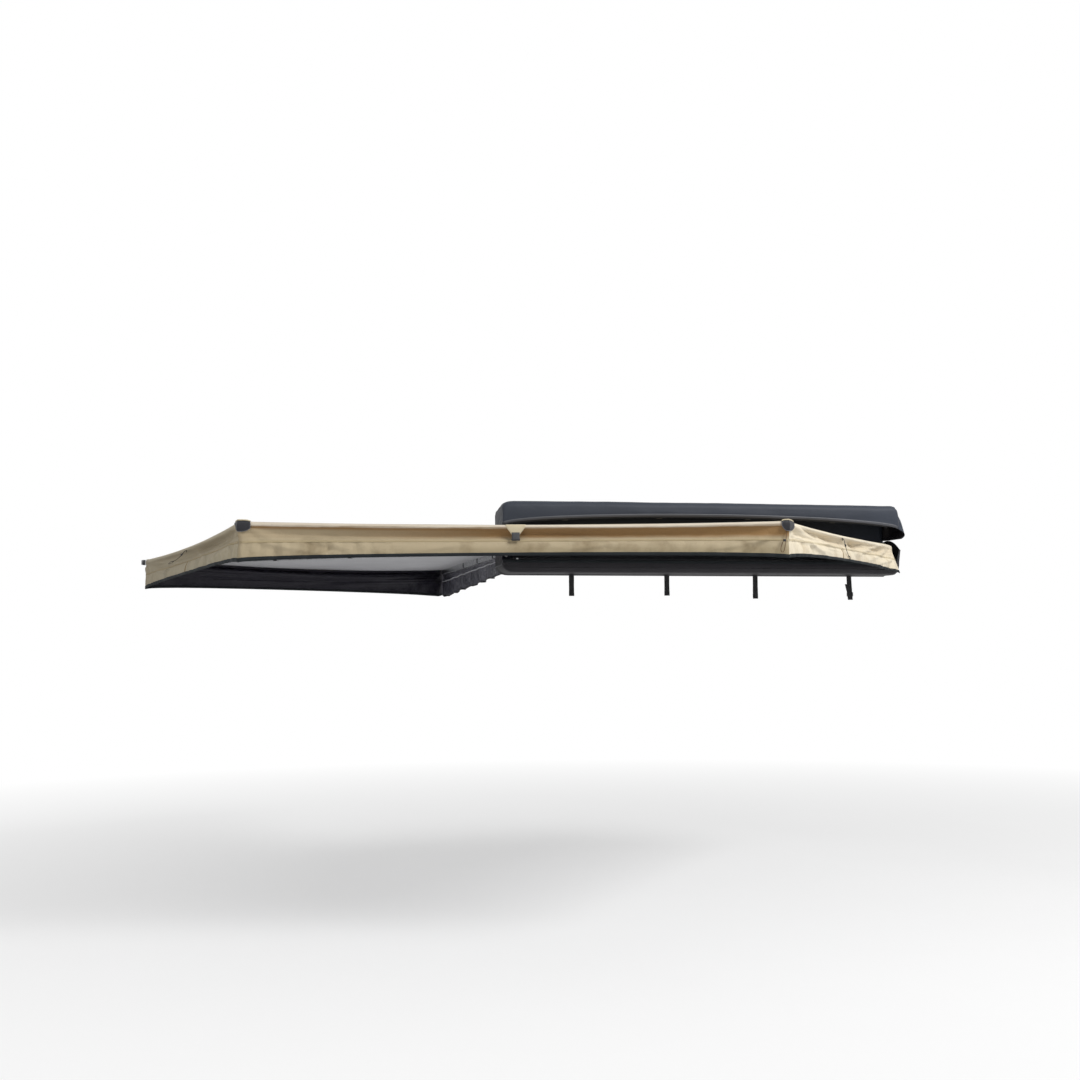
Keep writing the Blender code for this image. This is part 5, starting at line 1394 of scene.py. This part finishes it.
def lid_edge(x):
    """Height of the lid's front lower edge above the hub: an arch along the bag."""
    share = (x - CASE_LEFT) / (CASE_RIGHT - CASE_LEFT)
    return mix(LID_FRONT_END, LID_FRONT_MIDDLE, bow(share) ** 0.5 if 0 < share < 1 else 0.0)


def lid_profile(x):
    """Lid section from its hinge, over the top and down to the front edge."""
    deep = CASE_DEPTH
    edge = lid_edge(x)
    top = LID_TOP - LID_END_FALL * end_lift(x)
    nose = top - deep * 0.205
    shape = [(0.0, LID_HINGE_RISE), (0.06, mix(LID_HINGE_RISE, top, 0.25)),
             (0.10, mix(LID_HINGE_RISE, top, 0.5)), (0.30, top - deep * 0.074), (0.60, top - deep * 0.016),
             (0.82, top), (0.92, top - deep * 0.025), (0.98, top - deep * 0.098), (1.0, nose),
             (1.005, mix(nose, edge, 0.5)), (0.995, edge)]
    return [(LID_HINGE_Y - share * deep, HUB_Z + z) for share, z in shape]


def end_lift(x):
    """How far the tray's bottom rises where its left end is rounded."""
    near = max(0.0, END_ROUND - (x - CASE_LEFT))
    return END_ROUND - math.sqrt(max(0.0, END_ROUND ** 2 - near ** 2))


def tray_profile(x):
    """Tray section from its hinge, under the load and up to the front edge."""
    deep = CASE_DEPTH
    edge = mix(TRAY_FRONT, TRAY_END_FRONT, ease((x - (CASE_RIGHT - TRAY_RISE_LENGTH)) / TRAY_RISE_LENGTH))
    dip = TRAY_RIGHT_DIP * ease((x - 0.64 * CASE_RIGHT) / (0.36 * CASE_RIGHT))
    base = TRAY_BOTTOM + dip - 0.8 * end_lift(x)
    hinge = TRAY_HINGE_DROP - 0.8 * end_lift(x)
    shape = [(0.0, hinge), (0.06, mix(hinge, base, 0.6)), (0.16, base - deep * 0.004),
             (0.40, base), (0.72, base), (0.90, base - deep * 0.02), (0.97, base - deep * 0.09),
             (0.995, mix(base, TRAY_FRONT, 0.49)), (1.0, mix(base, TRAY_FRONT, 0.75)), (0.990, edge)]
    return [(TRAY_HINGE_Y - share * deep, HUB_Z - z) for share, z in shape]


# Each half of the bag: its section and the seed of its creases
HALVES = {"lid": (lid_profile, 41), "tray": (tray_profile, 51)}
BAG_COLUMNS = 44
BAG_STEPS = 110
TRIM_STEPS = 150
EDGE_STEPS = 160
# Section of the bound edge as (up the skin, out from it)
BINDING_SECTION = ((0.017, 0.0016), (0.012, 0.0024), (0.001, 0.0022), (-0.0016, 0.0), (0.001, -0.0020),
                   (0.010, -0.0018))
# How far a zip tape stands past its bag's edge, and its number of teeth
TAPE_PROUD = 0.007
TEETH = 560
TOOTH = ((-0.0012, -0.0014, 0.0), (0.0012, -0.0014, 0.0), (0.0012, 0.0014, 0.0),
         (-0.0012, 0.0014, 0.0), (0.0, -0.0016, 0.0024), (0.0, 0.0016, 0.0024))


def end_draw(x):
    """How far a bag section is drawn in towards its chord near its ends."""
    left = value_through(((0.0, 0.30), (0.05, 0.10), (0.20, 0.02), (0.50, 0.0)),
                         (x - CASE_LEFT) / END_ROUND)
    right = value_through(((0.0, 0.30), (0.12, 0.16), (0.45, 0.05), (1.0, 0.0)),
                          (CASE_RIGHT - x) / RIGHT_ROUND)
    return max(left, right)


def bag_point(half, x, share):
    """Point on a half bag's skin at a share from its hinge to its front edge."""
    profile_at, seed = HALVES[half]
    profile = [Vector((x, y, z)) for y, z in profile_at(x)]
    first = profile[0]
    last = profile[-1]
    point = curve_through(profile, share).lerp(first.lerp(last, share), end_draw(x))
    out = point - first.lerp(last, 0.5)
    out.x = 0.0
    if out.length > 1e-6:
        out.normalize()
    hold = ease(share / 0.10) * ease((1.0 - share) / 0.08)
    hold = hold * ease((x - CASE_LEFT) / 0.05) * ease((CASE_RIGHT - x) / 0.05)
    wave = 0.0042 * rumple(x, share * 0.30, seed, 3.0) + 0.0016 * rumple(x, share * 0.45, seed + 2, 11.0)
    return point + out * (wave * hold - 0.0012 * hold)


def bag_row(half, x):
    """Points across a half bag's skin at one place along it."""
    return [bag_point(half, x, column / BAG_COLUMNS) for column in range(BAG_COLUMNS + 1)]


def bag_stations():
    """Places along the bag: close together at its rounded ends."""
    ends = (0.0, 0.002, 0.005, 0.009, 0.014, 0.021, 0.030, 0.042, 0.057)
    left = [CASE_LEFT + e for e in ends]
    right = [CASE_RIGHT - e * 0.8 for e in reversed(ends)]
    inner = [mix(left[-1], right[0], i / BAG_STEPS) for i in range(1, BAG_STEPS)]
    return left + inner + right


def end_wall(half, x, rear, front, swell, arch):
    """Rows that close a bag's end, from the skin's rim to the wall's free edge; the right one bulges."""
    profile_at, seed = HALVES[half]
    profile = profile_at(x)
    rows = []
    for step in range(1, 11):
        share = step / 10
        row = []
        for column, rim in enumerate(bag_row(half, x)):
            place = column / BAG_COLUMNS
            height = HUB_Z + mix(rear, front, place) + arch * bow(place)
            edge = Vector((x, mix(profile[0][0], profile[-1][0], place), height))
            point = rim.lerp(edge, share)
            if x > 0:
                point.x += swell * ease(place / BULGE_START) * (share / 2 + bow(share))
            else:
                point.x += END_TUCK * share
            point.x += 0.0030 * rumple(place * 1.4, share, seed + 4, 3.0) * bow(share) * bow(place)
            row.append(point)
        rows.append(row)
    return rows


def bag_half(half, left_edge, right_edge, outer):
    """Half of the bag as one lofted shell with lining, ends and slack."""
    rows = end_wall(half, CASE_LEFT, *left_edge, 0.0, 0.0)[::-1]
    rows += [bag_row(half, x) for x in bag_stations()]
    rows += end_wall(half, CASE_RIGHT, *right_edge)
    piece = thicken(surface(f"bag_{half}_shell", rows, [outer, BAG_INNER]), BAG_WALL, lining=True)
    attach(piece, half)
    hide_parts(f"bag_{half}")


def bag_trim(half, label, share, lift, material):
    """Piping along the bag at a share of its section."""
    path = []
    for step in range(TRIM_STEPS + 1):
        x = mix(CASE_LEFT + 0.02, CASE_RIGHT - 0.03, step / TRIM_STEPS)
        point = bag_point(half, x, share)
        away = point - Vector((x, LID_HINGE_Y - CASE_DEPTH * 0.45, point.z))
        away.x = 0.0
        path.append(point + away.normalized() * lift)
    made = tube(f"bag_{half}_{label}_piping", path, 0.0020, material, 8)
    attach(made, half)


def end_piping(half, label, x, outward):
    """Piping round a bag's end seam."""
    path = [point + Vector((outward, 0.0, 0.0)) for point in bag_row(half, x)[1:-1]]
    made = tube(f"bag_{half}_{label}_piping", path, 0.0024, BAG_PIPING, 8)
    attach(made, half)


def bag_binding(half, material):
    """Bound front edge of a half bag, folded over the skin."""
    out = Vector((0.0, -1.0, 0.0))
    rows = []
    for step in range(EDGE_STEPS + 1):
        x = mix(CASE_LEFT + 0.006, CASE_RIGHT - 0.006, step / EDGE_STEPS)
        edge = bag_point(half, x, 1.0)
        way = (bag_point(half, x, 0.965) - edge).normalized()
        rows.append([edge + way * up + out * lift for up, lift in BINDING_SECTION])
    made = thicken(surface(f"bag_{half}_binding", rows, [material]), TAPE_WALL)
    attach(made, half)


def zip_teeth(half, edge_at, up):
    """Zip tape with its row of coil teeth along the free edge."""
    name = f"{half}_zip_tape"
    low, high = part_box(name)
    y = (low[1] + high[1]) / 2
    rows = []
    for step in range(EDGE_STEPS + 1):
        x = mix(low[0], high[0], step / EDGE_STEPS)
        rows.append([Vector((x, y + back, edge_at(x) - up * down))
                     for back, down in ((0.0, 0.0), (0.0, 0.010), (0.0004, 0.0200))])
    tape = thicken(surface(f"{name}_cloth", rows, [WEBBING]), SKIRT_WALL)
    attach(tape, half)
    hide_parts(name)
    points = []
    faces = []
    for number in range(TEETH):
        x = mix(low[0] + 0.004, high[0] - 0.004, number / (TEETH - 1))
        base = len(points)
        points += [Vector((x + dx, y + dy, edge_at(x) + up * dz)) for dx, dy, dz in TOOTH]
        faces += [(base, base + 1, base + 4), (base + 1, base + 2, base + 5, base + 4),
                  (base + 2, base + 3, base + 5), (base + 3, base, base + 4, base + 5),
                  (base + 3, base + 2, base + 1, base)]
    teeth = mesh_piece(f"{name}_teeth", points, faces, [BLACK_NYLON])
    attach(teeth, half)


def bag():
    """Lid and tray with bindings, pipings and zip tapes."""
    bag_half("lid", (0.055, 0.122), (0.066, 0.066, END_BULGE, 0.0), BAG_OUTER)
    bag_half("tray", (-0.040, -0.050), (0.056, -TRAY_END_FRONT, TRAY_BULGE, TRAY_ARCH), TRAY_OUTER)
    bag_binding("lid", BAG_PIPING)
    bag_binding("tray", HEM_TAPE)
    bag_trim("lid", "rear", 0.17, 0.0018, BAG_OUTER)
    bag_trim("tray", "front", 0.72, 0.0020, BAG_INNER)
    for half in HALVES:
        end_piping(half, "left", CASE_LEFT + 0.003, -0.0010)
        end_piping(half, "right", CASE_RIGHT - 0.004, 0.0010)
    zip_teeth("lid", lambda x: HUB_Z + lid_edge(x) - TAPE_PROUD, -1.0)
    zip_teeth("tray", lambda x: HUB_Z - TRAY_FRONT + TAPE_PROUD, 1.0)


LID_TAB_X = (-0.87, -0.29, 0.27, 0.815)
LID_TAB_HALF = 0.018
LID_TAB_FOLD = ((0.030, 0.0), (0.018, 0.0008), (0.004, 0.0022), (-0.010, 0.0030), (-0.0125, 0.0042),
            (-0.010, 0.0052), (0.006, 0.0046))


def lid_tabs():
    """Webbing tabs sewn inside the lid's front wall."""
    y = LID_HINGE_Y - CASE_DEPTH * 0.995 + 0.0052
    for number, x in enumerate(LID_TAB_X, 1):
        edge = HUB_Z + lid_edge(x)
        rows = [[Vector((x + side * LID_TAB_HALF, y + lean, edge + z)) for side in FIVE_ACROSS]
                for z, lean in LID_TAB_FOLD]
        tab = thicken(surface(f"lid_tab_{number}", rows, [GREY_WEBBING]), LID_TAB_WALL)
        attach(tab, "lid")


def strap_middle(index, share):
    """Middle of a strap: sewn behind the panel, then hanging free below it."""
    return Vector((STRAP_X[index - 1] + STRAP_LEANS[index - 1] * share ** 2,
                   PANEL_REAR + GAP + STRAP_THICK / 2 + 0.006 * ease((share - 0.45) / 0.5),
                   HUB_Z - mix(STRAP_START_DROP, STRAP_END_DROPS[index - 1], share)))


STRAP_STEPS = 40
# A strap's folded end, as (share along it, lift)
STRAP_FOLD = ((0.90, 0.0017), (0.91, 0.0022), (0.985, 0.0022), (1.000, 0.0014), (1.004, 0.0))


def straps():
    """Closing straps with a folded, stitched end."""
    for index in range(1, len(STRAP_X) + 1):
        rows = []
        for step in range(STRAP_STEPS + 1):
            share = step / STRAP_STEPS
            middle = strap_middle(index, share)
            twist = 0.0022 * ease((share - 0.5) / 0.4) * math.sin(share * 9.0 + index)
            row = []
            for side in (-1.0, -0.9, -0.45, 0.0, 0.45, 0.9, 1.0):
                wave = 0.0004 * math.sin(share * 40.0 + side * 2.0 + index) * ease((share - 0.5) / 0.2)
                row.append(middle + Vector((side * STRAP_WIDTH / 2, twist * side + wave, 0.0)))
            rows.append(row)
        strap = thicken(surface(f"strap_{index}_webbing", rows, [WEBBING]), STRAP_WALL)
        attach(strap, "root")
        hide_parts(f"strap_{index}")
        fold = []
        for share, lift in STRAP_FOLD:
            middle = strap_middle(index, share) + Vector((0.0, lift + 0.0004, 0.0))
            twist = 0.0022 * math.sin(share * 9.0 + index)
            fold.append([middle + Vector((side * STRAP_WIDTH / 2, twist * side, 0.0))
                         for side in FIVE_ACROSS])
        end = thicken(surface(f"strap_{index}_fold", fold, [WEBBING]), WEBBING_WALL)
        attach(end, "root")


BUCKLE_SIDE = (0.0036, 0.0082, 0.026)
BUCKLE_BAR = (0.0022, 0.0036)
TAIL_STEPS = 14


def strap_buckle():
    """Ladder-lock buckle on the last strap, with the strap's loose tail."""
    index = len(STRAP_X)
    middle = strap_middle(index, BUCKLE_SHARE)
    wide = STRAP_WIDTH / 2 + 0.0006
    ways = (Vector((1.0, 0.0, 0.0)), Vector((0.0, 1.0, 0.0)), UP)
    bars = []
    for number, x in enumerate((-wide - 0.0018, wide + 0.0018), 1):
        bars.append(block(f"strap_buckle_side_{number}", BUCKLE_SIDE, middle + Vector((x, 0.0, 0.0)),
                          ways, BLACK_NYLON, 0.0014))
    for number, z in enumerate((-0.0112, 0.0112), 1):
        for face, y in (("front", -0.0032), ("rear", 0.0032)):
            bars.append(block(f"strap_buckle_bar_{face}_{number}", (2 * wide + 0.003, *BUCKLE_BAR),
                              middle + Vector((0.0, y, z)), ways, BLACK_NYLON, 0.0009))
    for piece in bars:
        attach(piece, "root")
    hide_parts("strap_buckle")
    tail = []
    for step in range(TAIL_STEPS + 1):
        share = step / TAIL_STEPS
        place = middle + Vector((-0.021 * share - 0.004, -0.0052 - 0.0035 * share, -0.012 + 0.076 * share))
        tail.append([place + Vector((side * 0.012, 0.0014 * side * share, 0.0)) for side in FIVE_ACROSS])
    loose = thicken(surface(f"strap_{index}_tail", tail, [WEBBING]), WEBBING_WALL)
    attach(loose, "root")


# The skin past the panel's right end and top, and its two tabs' heights from the hub
PANEL_SKIN_END = 0.0085
PANEL_SKIN_TOP = 0.0025
PANEL_TAB_LAP = 0.004
PANEL_ROWS = 24
LOWER_TAB = (-0.100, -0.036)
UPPER_TAB_START = 0.045


def back_panel():
    """Sewn skin of the back panel, with its narrower tabs below and above the hub."""
    low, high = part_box("bag_back_panel")
    middle = (low[1] + high[1]) / 2
    tab_end = PANEL_START + PANEL_TAB_LAP
    parts = (("skin", PANEL_START, high[0] + PANEL_SKIN_END, low[2], high[2] + PANEL_SKIN_TOP, 80),
             ("tab", low[0], tab_end, HUB_Z + LOWER_TAB[0], HUB_Z + LOWER_TAB[1], 8),
             ("upper_tab", low[0], tab_end, HUB_Z + UPPER_TAB_START, high[2], 8))
    for label, left, right, bottom, top, columns in parts:
        rows = []
        for step in range(columns + 1):
            x = mix(left, right, step / columns)
            row = []
            for up_step in range(PANEL_ROWS + 1):
                share = up_step / PANEL_ROWS
                z = mix(bottom, top, share)
                hold = ease(share / 0.1) * ease((1.0 - share) / 0.1)
                row.append(Vector((x, middle + 0.0006 * rumple(x, z, 61, 8.0) * hold, z)))
            rows.append(row)
        panel = surface(f"bag_back_panel_{label}", rows, [BAG_INNER, BAG_OUTER])
        thicken(panel, high[1] - low[1] - 0.0008, lining=True)
        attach(panel, "root")
        if label == "skin":
            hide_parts("bag_back_panel")


def hardware():
    """Procedural metal and nylon on the CAD pieces that stay."""
    looks = {"mill_aluminium": MILL_ALUMINIUM, "black_coat": BLACK_COAT, "zinc_steel": ZINC_STEEL,
             "black_nylon": BLACK_NYLON, "black_anodised": BLACK_ANODISED}
    slots = {part["node"]: part["material_slot"] for part in frame["record"]["subparts"]}
    for node, made in frame["nodes"].items():
        look = looks.get(slots[node])
        if look is None:
            continue
        made.data.materials.clear()
        made.data.materials.append(look)
    for index in (1, 2, 3, 4):
        frame["nodes"][f"arm_{index}_tube"].data.materials[0] = ARM_ALUMINIUM


# Studio

WHITE = colour(1.0, 1.0, 1.0)
FLOOR_REACH = 60.0


def camera():
    """The photograph's camera: turned, tipped up and rolled a little."""
    data = bpy.data.cameras.new("photo_camera")
    data.sensor_width = SENSOR
    data.lens = FOCAL_PIXELS / PHOTO_SIZE * SENSOR
    made = bpy.data.objects.new("photo_camera", data)
    made.location = CAMERA_PLACE
    turn = Euler((math.pi / 2 + CAMERA_PITCH, 0.0, -CAMERA_YAW)).to_matrix()
    made.rotation_euler = (turn @ Matrix.Rotation(CAMERA_ROLL, 3, "Z")).to_euler()
    bpy.context.scene.collection.objects.link(made)
    bpy.context.scene.camera = made


def area_light(name, place, target, size, power):
    """A soft square studio lamp."""
    data = bpy.data.lights.new(name, "AREA")
    data.shape = "SQUARE"
    data.size = size
    data.energy = power
    made = bpy.data.objects.new(name, data)
    made.location = place
    made.rotation_euler = (Vector(target) - Vector(place)).to_track_quat("-Z", "Y").to_euler()
    bpy.context.scene.collection.objects.link(made)


def pale_floor():
    """Pale floor that fades to plain white away from the awning, for the camera only."""
    floor, tree, shader = new_material("pale_floor")
    place = solid_place(tree)
    tone = use(tree, MOTTLE, {"Place": place, "Patches": 0.6, "Specks": 30.0})
    tint = blend_colours(tree, tone.outputs["Tone"], colour(0.78, 0.78, 0.78), colour(0.84, 0.84, 0.84))
    fill(tree, shader, {"Base Color": tint, "Roughness": 0.9})
    away = add(tree, "ShaderNodeVectorMath", {0: place}, operation="LENGTH").outputs["Value"]
    far = remap(tree, away, 3.0, 9.0, 0.45)
    path = add(tree, "ShaderNodeLightPath")
    white = add(tree, "ShaderNodeEmission", {"Color": WHITE, "Strength": 1.0})
    fade = add(tree, "ShaderNodeMixShader", {0: maths(tree, "MULTIPLY", far, path.outputs["Is Camera Ray"]),
                                             1: shader.outputs[0], 2: white.outputs[0]})
    tree.links.new(fade.outputs[0], tree.nodes["Material Output"].inputs["Surface"])
    corners = [(x * FLOOR_REACH, y * FLOOR_REACH, FLOOR_Z) for x, y in ((-1, -1), (1, -1), (1, 1), (-1, 1))]
    mesh_piece("floor", corners, [(0, 1, 2, 3)], [floor])


def surroundings():
    """White behind the awning and in its reflections, over a plain pale light."""
    world = bpy.data.worlds.new("studio_world")
    bpy.context.scene.world = world
    world.use_nodes = True
    tree = world.node_tree
    sky = fill(tree, tree.nodes["Background"], {"Color": WHITE, "Strength": WORLD_LEVEL})
    seen = add(tree, "ShaderNodeBackground", {"Color": WHITE, "Strength": 1.0})
    path = add(tree, "ShaderNodeLightPath")
    straight = maths(tree, "MAXIMUM", path.outputs["Is Camera Ray"], path.outputs["Is Glossy Ray"])
    straight = maths(tree, "MAXIMUM", straight, path.outputs["Is Transmission Ray"])
    choose = add(tree, "ShaderNodeMixShader", {0: straight, 1: sky.outputs[0], 2: seen.outputs[0]})
    tree.links.new(choose.outputs[0], tree.nodes["World Output"].inputs["Surface"])


def studio():
    """Pale floor, plain pale surroundings and soft lamps."""
    pale_floor()
    surroundings()
    area_light("key", (4.5, -6.8, 6.6), (-0.5, -1.6, 0.0), 3.5, 900.0)
    area_light("fill", (-6.5, -6.0, 2.2), (-1.0, -0.8, 0.0), 5.0, 90.0)
    bpy.context.scene.view_settings.view_transform = "Standard"


camera()
skirt_cord("tie_cord_front", 1)
skirt_cord("tie_cord_rear", 3)
corner_cord()
for panel in (1, 2, 3, 4):
    dress_roof(panel)
    dress_skirt(panel)
    arm_seam(panel)
    arm_loops(panel)
arm_sleeve()
corner_cap(1)
corner_cap(2)
tie_out()
end_flap()
bag()
lid_tabs()
back_panel()
straps()
strap_buckle()
hardware()
studio()
